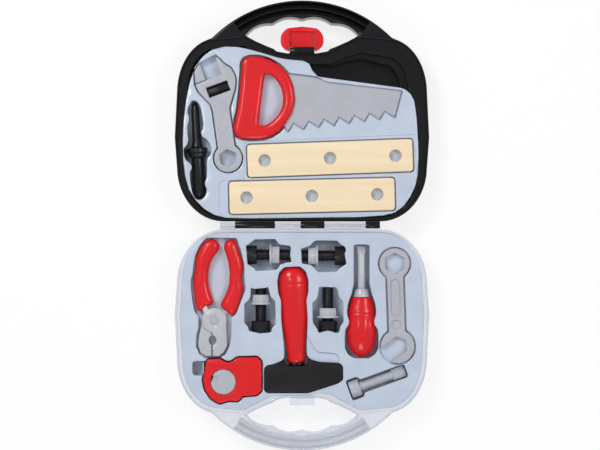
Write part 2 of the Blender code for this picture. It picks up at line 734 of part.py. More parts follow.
def make_latch(material):
    """Red latch: a panel, two flanges round the seat and a lip that hooks the tab."""
    half = SEAT_WIDTH / 2 + GAP
    back = LATCH_PIVOT_Z - LATCH_OFFSET - LATCH_PANEL
    inner = LATCH_PIVOT_Z - LATCH_OFFSET
    end = LATCH_PIVOT_Y + LATCH_REACH
    top = LATCH_PIVOT_Z + LATCH_FLANGE
    latch = add_object("latch", prism(latch_outline(), back, top), material)
    neck = LATCH_PIVOT_Y + LATCH_NECK
    hollow = [(-half, neck - OVERRUN), (half, neck - OVERRUN), (half, end - LATCH_LIP), (-half, end - LATCH_LIP)]
    cut(latch, prism(hollow, inner, top + OVERRUN))
    near, far = end - 2 * LATCH_LIP, end + OVERRUN
    above = [(-half, near), (half, near), (half, far), (-half, far)]
    cut(latch, prism(above, inner + LATCH_LIP_RISE, top + 2 * OVERRUN))
    toe = LATCH_PIVOT_Y - LATCH_TOE - OVERRUN
    notch = [(-half, toe), (half, toe), (half, neck), (-half, neck)]
    cut(latch, prism(notch, back - OVERRUN, top + OVERRUN / 2))
    bore = (LATCH_PIN_RADIUS + GAP) * BORE_GROWTH
    length = LATCH_WIDTH * 0.84
    cut(latch, rod((-length / 2, LATCH_PIVOT_Y, LATCH_PIVOT_Z), length, bore, BORE_SIDES))
    latch.data.transform(Matrix.Translation((0.0, -LATCH_PIVOT_Y, -LATCH_PIVOT_Z)))
    latch.location = (0.0, LATCH_PIVOT_Y, LATCH_PIVOT_Z)
    return latch


def make_latch_pin(material):
    """Pin through the seat into both flanges."""
    length = LATCH_WIDTH * 0.84 - 2 * GAP
    mesh = rod((-length / 2, LATCH_PIVOT_Y, LATCH_PIVOT_Z), length, LATCH_PIN_RADIUS, BORE_SIDES)
    return add_object("latch_pin", mesh, material)


def clear_ledge(shell, pockets):
    """Room in a shell's ledge for the cups that reach over it."""
    for plan, floor in pockets:
        cut(shell, prism(grown(plan, TRAY_SHEET + GAP), floor - TRAY_SHEET - GAP, RIM_Z + OVERRUN))


def make_tray(name, material, side_border, side, pockets, corner_cut=None):
    """A thin sheet with one drawn cup for each pocket, given as (outline, floor height)."""
    outline = inset_body(border_widths(body_outline(), side_border))
    outline = outline if side > 0 else mirrored(outline)
    tray = add_object(name, prism(outline, TRAY_TOP - TRAY_SHEET, TRAY_TOP), material)
    for plan, floor in pockets:
        join(tray, prism(grown(plan, TRAY_SHEET), floor - TRAY_SHEET, TRAY_TOP - TRAY_SHEET / 2))
    for plan, floor in pockets:
        cut(tray, prism(plan, floor, TRAY_TOP + OVERRUN))
    if corner_cut:
        cut(tray, prism(corner_cut, CASE_FLOOR, TRAY_TOP + 2 * OVERRUN))
    return tray


def corner_cut_outline():
    """The back tray's bare corner: a lead-in, the line under the saw and a curve to the side."""
    low = CORNER_CUT_Y - 0.75 * CORNER_CUT_LIFT
    high = CORNER_CUT_Y + 1.6 * CORNER_CUT_LIFT
    far = 1.2 * HALF_WIDTH
    corners = [(CORNER_CUT_X, CORNER_CUT_Y), (CORNER_CUT_X + 1.4 * CORNER_CUT_LIFT, low)]
    corners += [(CORNER_CUT_END_X, CORNER_CUT_END_Y), (far, CORNER_CUT_END_Y - 2 * CORNER_CUT_LIFT)]
    corners += [(far, HANDLE_REACH), (0.3 * CORNER_CUT_X, HANDLE_REACH), (0.3 * CORNER_CUT_X, high)]
    return rounded(corners, CORNER_CUT_LIFT)


def pocket_for(outline, floor):
    """A pocket that follows an outline with clearance."""
    return (grown(outline, POCKET_CLEARANCE), floor - BED_CLEARANCE)


# Tools in the back shell

def wrench_head_place():
    """Foot of the fixed jaw, where the gap's floor meets it."""
    end = at(wrench_place_share)
    return (end[0] + wrench_head_share[0] * WRENCH_LENGTH, end[1] + wrench_head_share[1] * WRENCH_LENGTH)


def in_head(points):
    """Points of the wrench's head frame, X along the jaw's travel, brought into the case."""
    return placed(points, wrench_head_place(), WRENCH_HEAD_TURN)


def head_box(left, right, low, high):
    """A rectangle in the wrench's head frame."""
    return in_head([(left, low), (right, low), (right, high), (left, high)])


def wrench_outline():
    """Plan of the wrench's body, the gap's floor included."""
    half = WRENCH_SHANK_WIDTH / 2
    lead = math.asin(half / WRENCH_END_RADIUS)
    end = arc((0.0, 0.0), WRENCH_END_RADIUS, math.pi / 2 + lead, 2.5 * math.pi - lead, 2 * CORNER_STEPS)
    place = at(wrench_place_share)
    outline = placed(end + [(half, WRENCH_SHANK_REACH)], place, WRENCH_TURN)
    outline += in_head(scaled(wrench_right_shares, WRENCH_HEAD_WIDTH))
    outline += in_head([(0.0, 0.0)] + scaled(wrench_left_shares, WRENCH_HEAD_WIDTH))
    return outline + placed([(-half, WRENCH_SHANK_REACH)], place, WRENCH_TURN)


def make_wrench(steel, black):
    """Adjustable wrench: body, sliding jaw, worm and the worm's axle. Returns its pocket."""
    top = TOOL_TOP
    low = top - WRENCH_THICKNESS
    middle = (top + low) / 2
    body = add_object("wrench_body", prism(wrench_outline(), low, top), steel)
    place = at(wrench_place_share)
    hexagon = circle(place, WRENCH_HEX_RADIUS, 6, WRENCH_TURN + math.pi / 2)
    cut(body, prism(hexagon, low - OVERRUN, top + OVERRUN))
    right = WINDOW_SHIFT
    left = right - WINDOW_LENGTH
    deep = -WINDOW_DEPTH - WINDOW_WIDTH
    cut(body, prism(head_box(left, right, deep, -WINDOW_DEPTH), low - OVERRUN, top + OVERRUN))
    jaw_left = moving_jaw_shares[0][0] * WRENCH_HEAD_WIDTH
    tongue_end = jaw_left + JAW_TONGUE
    channel_end = tongue_end + JAW_OPENING - JAW_LEFT_OPEN + RUN
    open_side = jaw_left - 3 * OVERRUN
    bead = JAW_BEAD / 2 + RUN
    neck = JAW_NECK / 2 + RUN
    rack = JAW_RACK_DEPTH + JAW_TOOTH
    channel = head_box(open_side, channel_end, -rack - RUN, GAP - JAW_BEAD_TOP)
    cut(body, prism(channel, middle - bead, middle + bead))
    slot = head_box(open_side, channel_end, -JAW_BEAD_TOP, OVERRUN)
    cut(body, prism(slot, middle - neck, middle + neck))
    make_moving_jaw(steel, low, top, tongue_end)
    make_worm(body, steel, black, middle, left, right)
    return pocket_for(jaw_pocket_outline(), low)


def jaw_pocket_outline():
    """Plan of the wrench with its jaw, for the pocket: the jaws' gap stays open."""
    outline = wrench_outline()
    foot = outline.index(in_head([(0.0, 0.0)])[0])
    jaw = in_head(scaled(moving_jaw_shares[1:], WRENCH_HEAD_WIDTH))
    corner = in_head(scaled(moving_jaw_shares[:1], WRENCH_HEAD_WIDTH))
    return outline[:foot] + jaw[1:] + corner + outline[foot + 1:]


def make_moving_jaw(material, low, top, tongue_end):
    """The sliding jaw: its face, a neck and a toothed bead that runs in the head."""
    middle = (low + top) / 2
    jaw_left = moving_jaw_shares[0][0] * WRENCH_HEAD_WIDTH
    face = in_head(scaled(moving_jaw_shares, WRENCH_HEAD_WIDTH))
    jaw = add_object("wrench_jaw", prism(face, low, top), material)
    face_low = moving_jaw_shares[0][1] * WRENCH_HEAD_WIDTH
    neck = head_box(jaw_left + GAP, tongue_end, -JAW_BEAD_TOP - 2 * GAP, face_low + GAP)
    join(jaw, prism(neck, middle - JAW_NECK / 2, middle + JAW_NECK / 2))
    start = jaw_left + 2 * GAP
    pitch = (tongue_end - GAP - start) / JAW_TEETH
    teeth = [(start, -JAW_BEAD_TOP)]
    for i in range(JAW_TEETH):
        teeth += [(start + i * pitch, -JAW_RACK_DEPTH), (start + (i + 0.5) * pitch, -JAW_RACK_DEPTH - JAW_TOOTH)]
    teeth += [(tongue_end - GAP, -JAW_RACK_DEPTH), (tongue_end - GAP, -JAW_BEAD_TOP)]
    join(jaw, prism(in_head(teeth), middle - JAW_BEAD / 2, middle + JAW_BEAD / 2))
    return jaw


def make_worm(body, steel, black, middle, left, right):
    """The black worm roller in the window and its axle in the body."""
    centre = -WINDOW_DEPTH - WINDOW_WIDTH / 2
    start = in_head([(left + RUN, centre)])[0]
    length = right - left - 2 * RUN
    sides = 2 * WORM_FLUTES
    rings = []
    for along in (0.0, length):
        radii = [WORM_RADIUS - WORM_FLUTE * (i % 2) for i in range(sides)]
        angles = [2 * math.pi * i / sides for i in range(sides)]
        rings.append([(along, -r * math.cos(t), r * math.sin(t)) for r, t in zip(radii, angles)])
    origin = (*in_head([((left + right) / 2, centre)])[0], middle)
    worm = add_object("wrench_worm", moved(loft(rings), start, WRENCH_HEAD_TURN, middle), black, origin)
    axle_start = (*in_head([(left - WORM_AXLE_SEAT, centre)])[0], middle)
    axle_length = right - left + 2 * WORM_AXLE_SEAT
    bore = (WORM_AXLE_RADIUS + GAP) * BORE_GROWTH
    for item in (worm, body):
        cut(item, rod(axle_start, axle_length, bore, BORE_SIDES, WRENCH_HEAD_TURN))
    inner_start = (*in_head([(left - WORM_AXLE_SEAT + GAP, centre)])[0], middle)
    axle = rod(inner_start, axle_length - 2 * GAP, WORM_AXLE_RADIUS, BORE_SIDES, WRENCH_HEAD_TURN)
    return add_object("wrench_worm_axle", axle, steel)


def blade_outline():
    """Plan of the saw's blade with its row of teeth."""
    heel = Vector((SAW_HEEL, -SAW_BLADE_WIDTH))
    toe = Vector((SAW_BLADE_LENGTH - SAW_TIP_RAKE, -SAW_TIP_WIDTH))
    points = [(0.0, 0.0), (0.0, -SAW_BLADE_WIDTH + SAW_TOOTH), tuple(heel)]
    square = (toe - heel).orthogonal().normalized()
    for i in range(SAW_TEETH):
        notch = heel.lerp(toe, (i + saw_tooth_share) / SAW_TEETH) + square * SAW_TOOTH
        points += [tuple(notch), tuple(heel.lerp(toe, (i + 1) / SAW_TEETH))]
    return points + [(SAW_BLADE_LENGTH, 0.0)]


def make_saw(red, steel):
    """Hand saw: a D handle with the blade in its slot. Returns the handle's and the blade's pockets."""
    top = TRAY_TOP + SAW_HANDLE_PROUD
    low = top - SAW_HANDLE_THICKNESS
    middle = (top + low) / 2
    place = at(saw_place_share)
    outline = placed(rounded(scaled(saw_handle_shares, SAW_HANDLE_HEIGHT), SAW_HANDLE_THICKNESS, 1), place)
    handle = add_object("saw_handle", prism(outline, low, top), red)
    hole = placed(rounded(scaled(saw_hole_shares, SAW_HANDLE_HEIGHT), SAW_HANDLE_THICKNESS / 2, 1), place)
    cut(handle, prism(hole, low - OVERRUN, top + OVERRUN))
    blade_place = at(saw_blade_place_share)
    half = SAW_BLADE_THICKNESS / 2
    blade_plan = placed(blade_outline(), blade_place, SAW_TURN)
    blade = add_object("saw_blade", prism(blade_plan, middle - half, middle + half), steel)
    slot = placed(slot_outline(), blade_place, SAW_TURN)
    cut(handle, prism(slot, middle - half - GAP, middle + half + GAP))
    floor = middle - half - BED_CLEARANCE
    return [pocket_for(outline, low), (grown(blade_plan, SAW_RECESS_MARGIN), floor)]


def slot_outline():
    """The blade's slot in the handle: the blade's back part with clearance."""
    foot = -SAW_BLADE_WIDTH - 2 * GAP
    reach = SAW_BLADE_LENGTH / 2
    return [(-GAP, foot + SAW_TOOTH), (SAW_HEEL - GAP, foot), (reach, foot), (reach, GAP), (-GAP, GAP)]


def make_plank(name, material, share, turn):
    """Plank with three through holes. Returns its pocket."""
    place = at(share)
    half = (PLANK_LENGTH / 2, PLANK_WIDTH / 2)
    corners = [(-half[0], -half[1]), (half[0], -half[1]), half, (-half[0], half[1])]
    outline = placed(rounded(corners, PLANK_CORNER), place, turn)
    low = TOOL_TOP - PLANK_THICKNESS
    plank = add_object(name, prism(outline, low, TOOL_TOP), material)
    for step in (-1, 0, 1):
        hole = placed(circle((step * PLANK_HOLE_PITCH, 0.0), PLANK_HOLE_RADIUS, BORE_SIDES), place, turn)
        cut(plank, prism(hole, low - OVERRUN, TOOL_TOP + OVERRUN))
    return pocket_for(outline, low)


def profile_outline(profile):
    """Plan of a turned piece that lies along X."""
    return [(x, -r) for x, r in profile] + [(x, r) for x, r in reversed(profile)]


def make_punch(material):
    """Black two-ended punch with its collar. Returns its pocket."""
    place = at(punch_place_share)
    profile = [(x * PUNCH_LENGTH, r * PUNCH_COLLAR_RADIUS) for x, r in punch_shares]
    height = TOOL_TOP - PUNCH_COLLAR_RADIUS
    add_object("punch", moved(turned(profile, TURNED_SIDES), place, PUNCH_TURN, height), material)
    plan = profile_outline([(x * PUNCH_LENGTH, r * PUNCH_COLLAR_RADIUS) for x, r in punch_pocket_shares])
    return pocket_for(placed(plan, place, PUNCH_TURN), height - PUNCH_COLLAR_RADIUS)


# Tools in the front shell

def make_bolt(number, black, steel):
    """One bolt and its flanged nut. Returns the stepped pocket."""
    place = at(bolt_place_shares[number])
    turn = bolt_turns[number]
    height = TOOL_TOP - NUT_FLANGE_RADIUS
    head = turned([(0.0, BOLT_HEAD_RADIUS), (BOLT_HEAD_LENGTH, BOLT_HEAD_RADIUS)], 6)
    bolt = add_object(f"bolt_{number + 1}", moved(head, place, turn, height), black)
    shaft = turned([(BOLT_HEAD_LENGTH - GAP, BOLT_SHAFT_RADIUS), (BOLT_LENGTH, BOLT_SHAFT_RADIUS)], BORE_SIDES)
    join(bolt, moved(shaft, place, turn, height))
    half = BOLT_SLOT / 2
    slot = [(-OVERRUN, -half), (BOLT_SLOT_DEPTH, -half), (BOLT_SLOT_DEPTH, half), (-OVERRUN, half)]
    reach = BOLT_HEAD_RADIUS + OVERRUN
    cut(bolt, prism(placed(slot, place, turn), height - reach, height + reach))
    nut_at = nut_shares[number] * BOLT_LENGTH
    make_nut(number, steel, place, turn, height, nut_at)
    wide, narrow = BOLT_POCKET_HALF_WIDTH, BOLT_POCKET_TIP_HALF_WIDTH
    widths = (BOLT_HEAD_RADIUS, BOLT_HEAD_RADIUS, wide, wide, narrow, narrow)
    plan = profile_outline([(share * BOLT_LENGTH, width) for share, width in zip(bolt_pocket_shares, widths)])
    return pocket_for(placed(plan, place, turn), height - NUT_FLANGE_RADIUS)


def make_nut(number, material, place, turn, height, nut_at):
    """A hexagon nut with a round flange, free to turn on its bolt."""
    centre = (*placed([(nut_at, 0.0)], place, turn)[0], height)
    flange = turned([(nut_at, NUT_FLANGE_RADIUS), (nut_at + NUT_FLANGE, NUT_FLANGE_RADIUS)], TURNED_SIDES)
    nut = add_object(f"nut_{number + 1}", moved(flange, place, turn, height), material)
    hexagon = turned([(nut_at + GAP, NUT_HEX_RADIUS), (nut_at + NUT_FLANGE + NUT_HEX_LENGTH, NUT_HEX_RADIUS)], 6)
    join(nut, moved(hexagon, place, turn, height))
    bore = (BOLT_SHAFT_RADIUS + GAP) * BORE_GROWTH
    start = placed([(nut_at - OVERRUN, 0.0)], place, turn)[0]
    cut(nut, rod((*start, height), NUT_FLANGE + NUT_HEX_LENGTH + 2 * OVERRUN, bore, BORE_SIDES, turn))
    nut.data.transform(Matrix.Translation([-value for value in centre]))
    nut.location = centre
    return nut


def tang_outline(shares):
    """A bar of tang width along a short route of shares."""
    route = [Vector(point) for point in scaled(shares, PLIERS_LENGTH)]
    half = PLIERS_TANG_WIDTH / 2
    left, right = [], []
    for i, point in enumerate(route):
        ahead = route[min(i + 1, len(route) - 1)] - route[max(i - 1, 0)]
        side = Vector((ahead.y, -ahead.x)).normalized() * half
        right.append(tuple(point + side))
        left.append(tuple(point - side))
    return right + left[::-1]


def make_pliers_half(name, material, jaw_shares, tang_shares, upper):
    """One steel half: a jaw of full height, a boss of half height and a tang for its grip."""
    place = at(pliers_place_share)
    top = TOOL_TOP
    low = top - PLIERS_THICKNESS
    middle = (top + low) / 2
    jaw = placed(scaled(jaw_shares, PLIERS_LENGTH), place)
    half = add_object(name, prism(jaw, low, top), material)
    other = circle(place, PLIERS_BOSS_RADIUS + RUN, 2 * TURNED_SIDES)
    own = circle(place, PLIERS_BOSS_RADIUS, 2 * TURNED_SIDES)
    edge = GAP / 2
    if upper:
        cut(half, prism(other, low - OVERRUN, middle + edge))
        join(half, prism(own, middle + edge, top))
        floor = middle + 2 * edge
    else:
        cut(half, prism(other, middle - edge, top + OVERRUN))
        join(half, prism(own, low, middle - edge))
        floor = middle - 2 * edge - PLIERS_TANG_THICKNESS
    hole_place = placed(scaled([jaw_hole_share], PLIERS_LENGTH), place)[0]
    hole = arc(hole_place, (JAW_HOLE_HALF_WIDTH, JAW_HOLE_HALF_LENGTH), 0.0, 2 * math.pi, TURNED_SIDES)[:-1]
    cut(half, prism(hole, low - OVERRUN, top + OVERRUN))
    tang = placed(tang_outline(tang_shares), place)
    join(half, prism(tang, floor, floor + PLIERS_TANG_THICKNESS))
    bore = circle(place, (PLIERS_PIVOT_RADIUS + GAP) * BORE_GROWTH, BORE_SIDES)
    cut(half, prism(bore, low - OVERRUN, top + OVERRUN))
    half.data.transform(Matrix.Translation((-place[0], -place[1], -middle)))
    half.location = (*place, middle)
    return floor


def make_pliers_grip(name, material, shares, tang_shares, tang_floor):
    """One red grip with a socket for its tang."""
    place = at(pliers_place_share)
    middle = TOOL_TOP - PLIERS_THICKNESS / 2
    half = PLIERS_GRIP_THICKNESS / 2
    outline = placed(scaled(shares, PLIERS_LENGTH), place)
    grip = add_object(name, prism(outline, middle - half, middle + half), material)
    tang = grown(placed(tang_outline(tang_shares), place), GAP)
    cut(grip, prism(tang, tang_floor - GAP, tang_floor + PLIERS_TANG_THICKNESS + GAP))
    grip.data.transform(Matrix.Translation((-place[0], -place[1], -middle)))
    grip.location = (*place, middle)
    return grip


def make_pliers(steel, red):
    """Pliers: two halves, two grips and the pivot. Returns their pocket."""
    front_floor = make_pliers_half("pliers_front_half", steel, right_jaw_shares, left_tang_shares, True)
    back_floor = make_pliers_half("pliers_back_half", steel, left_jaw_shares, right_tang_shares, False)
    make_pliers_grip("pliers_left_grip", red, left_grip_shares, left_tang_shares, front_floor)
    make_pliers_grip("pliers_right_grip", red, right_grip_shares, right_tang_shares, back_floor)
    place = at(pliers_place_share)
    low = TOOL_TOP - PLIERS_THICKNESS
    stem = circle(place, PLIERS_PIVOT_RADIUS, BORE_SIDES)
    pivot = add_object("pliers_pivot", prism(stem, low, TOOL_TOP + 2 * GAP), steel)
    head = circle(place, PLIERS_PIVOT_HEAD, BORE_SIDES)
    join(pivot, prism(head, TOOL_TOP + GAP, TOOL_TOP + GAP + PLIERS_PIVOT_HEAD_HEIGHT))
    pocket = placed(scaled(pliers_pocket_shares, PLIERS_LENGTH), place)
    return (pocket, TOOL_TOP - (PLIERS_THICKNESS + PLIERS_GRIP_THICKNESS) / 2 - BED_CLEARANCE)


def make_hammer(black, red, dark):
    """Hammer: head, ferrule and a handle whose tang holds them. Returns the two pockets."""
    place = at(hammer_place_share)
    middle = TOOL_TOP - HAMMER_HEAD_THICKNESS / 2
    low = TOOL_TOP - HAMMER_HEAD_THICKNESS
    outline = placed(scaled(hammer_head_shares, HAMMER_HEAD_LENGTH), place)
    head = add_object("hammer_head", prism(outline, low, TOOL_TOP), black)
    neck = placed(scaled([hammer_neck_share], HAMMER_HEAD_LENGTH), place)[0]
    flat = HAMMER_HANDLE_THICKNESS / HAMMER_HANDLE_WIDTH
    half = HAMMER_HANDLE_WIDTH / 2
    start = HAMMER_FERRULE + 2 * GAP
    profile = [(start + along * HAMMER_HANDLE_LENGTH, r * half) for along, r in hammer_grip_shares]
    grip = turned(profile, TURNED_SIDES, flat)
    handle = add_object("hammer_handle", moved(grip, neck, HAMMER_HANDLE_TURN, middle), red)
    tang = turned([(-HAMMER_TANG_LENGTH, HAMMER_TANG_RADIUS), (start + GAP, HAMMER_TANG_RADIUS)], BORE_SIDES)
    join(handle, moved(tang, neck, HAMMER_HANDLE_TURN, middle))
    bore = (HAMMER_TANG_RADIUS + GAP) * BORE_GROWTH
    socket = turned([(-HAMMER_TANG_LENGTH - GAP, bore), (HAMMER_FERRULE, bore)], BORE_SIDES)
    cut(head, moved(socket, neck, HAMMER_HANDLE_TURN, middle))
    ring = turned([(GAP, half * 0.56), (GAP + HAMMER_FERRULE, half * 0.52)], TURNED_SIDES, flat)
    ferrule = add_object("hammer_ferrule", moved(ring, neck, HAMMER_HANDLE_TURN, middle), dark)
    through = turned([(-OVERRUN, bore), (HAMMER_FERRULE + OVERRUN, bore)], BORE_SIDES)
    cut(ferrule, moved(through, neck, HAMMER_HANDLE_TURN, middle))
    plan = placed(profile_outline([(0.0, half * 0.6)] + profile), neck, HAMMER_HANDLE_TURN)
    grip_low = middle - HAMMER_HANDLE_THICKNESS / 2
    return [pocket_for(outline, low), pocket_for(plan, grip_low)]


def make_screwdriver(steel, red, silver):
    """Screwdriver: grip, ferrule and a flat-tipped shaft. Returns the two pockets."""
    place = at(driver_place_share)
    turn = -math.pi / 2
    middle = TOOL_TOP - DRIVER_GRIP_THICKNESS / 2
    flat = DRIVER_GRIP_THICKNESS / 2 / DRIVER_GRIP_RADIUS
    profile = [(x * DRIVER_GRIP_LENGTH, r * DRIVER_GRIP_RADIUS) for x, r in driver_grip_shares]
    grip = add_object("screwdriver_grip", moved(turned(profile, TURNED_SIDES, flat), place, turn, middle), red)
    bore = (DRIVER_SHAFT_RADIUS + GAP) * BORE_GROWTH
    socket = turned([(-OVERRUN, bore), (DRIVER_TANG, bore)], BORE_SIDES)
    cut(grip, moved(socket, place, turn, middle))
    ring = [(-DRIVER_FERRULE_LENGTH, DRIVER_FERRULE_RADIUS * 0.76), (-GAP, DRIVER_FERRULE_RADIUS)]
    ferrule = add_object("screwdriver_ferrule", moved(turned(ring, TURNED_SIDES), place, turn, middle), silver)
    through = turned([(-DRIVER_FERRULE_LENGTH - OVERRUN, bore), (OVERRUN, bore)], BORE_SIDES)
    cut(ferrule, moved(through, place, turn, middle))
    tip = -DRIVER_SHAFT_LENGTH
    shaft = turned([(tip, DRIVER_SHAFT_RADIUS), (DRIVER_TANG - GAP, DRIVER_SHAFT_RADIUS)], BORE_SIDES)
    shaft = add_object("screwdriver_shaft", moved(shaft, place, turn, middle), steel)
    wide = DRIVER_SHAFT_RADIUS + OVERRUN
    start, end = tip - OVERRUN, tip + DRIVER_TIP
    side = placed([(start, -wide), (end, -wide), (end, wide), (start, wide)], place, turn)
    half = DRIVER_TIP_THICKNESS / 2
    cut(shaft, prism(side, middle + half, middle + wide))
    cut(shaft, prism(side, middle - wide, middle - half))
    neck = [(tip, DRIVER_SHAFT_RADIUS * 1.5), (-DRIVER_FERRULE_LENGTH * 1.6, DRIVER_SHAFT_RADIUS * 1.5)]
    neck += [(0.0, DRIVER_FERRULE_RADIUS * 1.1)]
    plan = placed(profile_outline(neck + profile), place, turn)
    return pocket_for(plan, middle - DRIVER_GRIP_THICKNESS / 2)


def spanner_outline():
    """Plan of the spanner along X: ring, shank and the round of the open end."""
    half = SPANNER_SHANK_WIDTH / 2
    ring_lead = math.asin(half / SPANNER_RING_RADIUS)
    jaw_lead = math.asin(half / SPANNER_JAW_RADIUS)
    ring = arc((0.0, 0.0), SPANNER_RING_RADIUS, ring_lead, 2 * math.pi - ring_lead, 2 * CORNER_STEPS)
    jaw = arc((SPANNER_SPAN, 0.0), SPANNER_JAW_RADIUS, jaw_lead - math.pi, math.pi - jaw_lead, 2 * CORNER_STEPS)
    return ring + jaw


def make_spanner(material):
    """Ring and open spanner. Returns its pocket."""
    place = at(spanner_place_share)
    low = TOOL_TOP - SPANNER_THICKNESS
    outline = placed(spanner_outline(), place, SPANNER_TURN)
    spanner = add_object("spanner", prism(outline, low, TOOL_TOP), material)
    hexagon = circle(place, SPANNER_HEX_RADIUS, 6, math.pi / 2)
    cut(spanner, prism(hexagon, low - OVERRUN, TOOL_TOP + OVERRUN))
    half = SPANNER_MOUTH_HALF_WIDTH
    mouth = [(-1.16 * half, 0.0), (-0.58 * half, -half), (SPANNER_JAW_RADIUS * 1.2, -half)]
    mouth += [(SPANNER_JAW_RADIUS * 1.2, half), (-0.58 * half, half)]
    centre = placed([(SPANNER_SPAN, 0.0)], place, SPANNER_TURN)[0]
    cut(spanner, prism(placed(mouth, centre, SPANNER_MOUTH_TURN), low - OVERRUN, TOOL_TOP + OVERRUN))
    return pocket_for(outline, low)


def make_tape(red, grey, ribbon):
    """Tape measure: two case halves, the dial, the roll and the tape's end. Returns its pockets."""
    place = at(tape_place_share)
    top = TOOL_TOP
    low = top - TAPE_THICKNESS
    middle = (top + low) / 2
    outline = placed(rounded(scaled(tape_case_shares, TAPE_LENGTH), TAPE_CORNER, 1), place)
    inside = grown(placed(scaled(tape_case_shares, TAPE_LENGTH), place), -TAPE_WALL)
    strip_y = place[1] + TAPE_ROLL_RADIUS + GAP
    mouth_x = place[0] + tape_mouth_share * TAPE_LENGTH
    slot = [(mouth_x - 2 * OVERRUN, strip_y - GAP), (place[0], strip_y - GAP)]
    slot += [(place[0], strip_y + TAPE_STRIP + GAP), (mouth_x - 2 * OVERRUN, strip_y + TAPE_STRIP + GAP)]
    slot_low, slot_high = middle - TAPE_WIDTH / 2 - GAP, middle + TAPE_WIDTH / 2 + GAP
    upper = add_object("tape_upper_case", prism(outline, middle + GAP / 2, top), red)
    cut(upper, prism(inside, middle - OVERRUN, top - TAPE_WALL - TAPE_DIAL_SUNK))
    window = circle(place, TAPE_DIAL_RADIUS + RUN, 2 * TURNED_SIDES)
    cut(upper, prism(window, middle, top + OVERRUN))
    cut(upper, prism(slot, slot_low, slot_high))
    lower = add_object("tape_lower_case", prism(outline, low, middle - GAP / 2), red)
    cut(lower, prism(inside, low + TAPE_WALL, middle + OVERRUN))
    cut(lower, prism(slot, slot_low, slot_high))
    make_tape_core(grey, ribbon, place, low, top, middle)
    strip = [(mouth_x - GAP, strip_y), (place[0], strip_y)]
    strip += [(place[0], strip_y + TAPE_STRIP), (mouth_x - GAP, strip_y + TAPE_STRIP)]
    end = add_object("tape_end", prism(strip, middle - TAPE_WIDTH / 2, middle + TAPE_WIDTH / 2), ribbon)
    hook_y = strip_y + TAPE_STRIP / 2
    half = TAPE_HOOK_WIDTH / 2
    hook_x = mouth_x - TAPE_HOOK
    hook = [(hook_x, hook_y - half), (mouth_x, hook_y - half), (mouth_x, hook_y + half), (hook_x, hook_y + half)]
    join(end, prism(hook, middle - TAPE_HOOK_HEIGHT / 2, middle + TAPE_HOOK_HEIGHT / 2))
    far_x = hook_x - TAPE_PULL_ROOM
    room = [(far_x, hook_y - half), (place[0], hook_y - half), (place[0], hook_y + half), (far_x, hook_y + half)]
    room = rounded(grown(room, POCKET_CLEARANCE), TAPE_CORNER)
    return [pocket_for(outline, low), (room, middle - TAPE_HOOK_HEIGHT / 2 - RUN)]


def make_tape_core(grey, ribbon, place, low, top, middle):
    """The dial in the case's window, on a hub that carries the roll."""
    dial_top = top - TAPE_DIAL_SUNK
    dial_low = dial_top - TAPE_DIAL_THICKNESS
    face = circle(place, TAPE_DIAL_RADIUS, 2 * TURNED_SIDES)
    dial = add_object("tape_dial", prism(face, dial_low, dial_top), grey)
    hub = circle(place, TAPE_HUB_RADIUS, BORE_SIDES)
    join(dial, prism(hub, low + TAPE_WALL + GAP, dial_low + GAP))
    dimple_place = placed(scaled([tape_dimple_share], TAPE_LENGTH), place)[0]
    dimple = circle(dimple_place, TAPE_DIMPLE_RADIUS, BORE_SIDES)
    cut(dial, prism(dimple, dial_top - TAPE_DIMPLE_DEPTH, dial_top + OVERRUN))
    dial.data.transform(Matrix.Translation((-place[0], -place[1], -middle)))
    dial.location = (*place, middle)
    roll_plan = circle(place, TAPE_ROLL_RADIUS, 2 * TURNED_SIDES)
    roll = add_object("tape_roll", prism(roll_plan, middle - TAPE_WIDTH / 2, middle + TAPE_WIDTH / 2), ribbon)
    bore = circle(place, (TAPE_HUB_RADIUS + GAP) * BORE_GROWTH, BORE_SIDES)
    cut(roll, prism(bore, low, top))
    roll.data.transform(Matrix.Translation((-place[0], -place[1], -middle)))
    roll.location = (*place, middle)


def make_pin(material):
    """Slotted pin: a round head, a shank and a flat tip. Returns its pocket."""
    place = at(pin_place_share)
    height = TOOL_TOP - PIN_HEAD_RADIUS
    head = turned([(0.0, PIN_HEAD_RADIUS), (PIN_HEAD_LENGTH, PIN_HEAD_RADIUS)], TURNED_SIDES)
    pin = add_object("slotted_pin", moved(head, place, PIN_TURN, height), material)
    neck = PIN_LENGTH - PIN_TIP_LENGTH
    shaft = turned([(PIN_HEAD_LENGTH - GAP, PIN_SHAFT_RADIUS), (neck, PIN_SHAFT_RADIUS)], BORE_SIDES)
    join(pin, moved(shaft, place, PIN_TURN, height))
    half = PIN_TIP_WIDTH / 2
    tip = [(neck - GAP, -half), (PIN_LENGTH, -half), (PIN_LENGTH, half), (neck - GAP, half)]
    join(pin, prism(placed(tip, place, PIN_TURN), height - PIN_TIP_THICKNESS / 2, height + PIN_TIP_THICKNESS / 2))
    widths = [(0.0, PIN_HEAD_RADIUS), (PIN_HEAD_LENGTH, PIN_HEAD_RADIUS)]
    widths += [(PIN_HEAD_LENGTH * 1.2, half), (PIN_LENGTH, half)]
    return pocket_for(placed(profile_outline(widths), place, PIN_TURN), height - PIN_HEAD_RADIUS)


# Assembly

def carry(carrier, riders):
    """Parent these objects to a shell, each in its place."""
    bpy.context.view_layer.update()
    for rider in riders:
        rider.parent = carrier
        rider.matrix_parent_inverse = carrier.matrix_world.inverted()


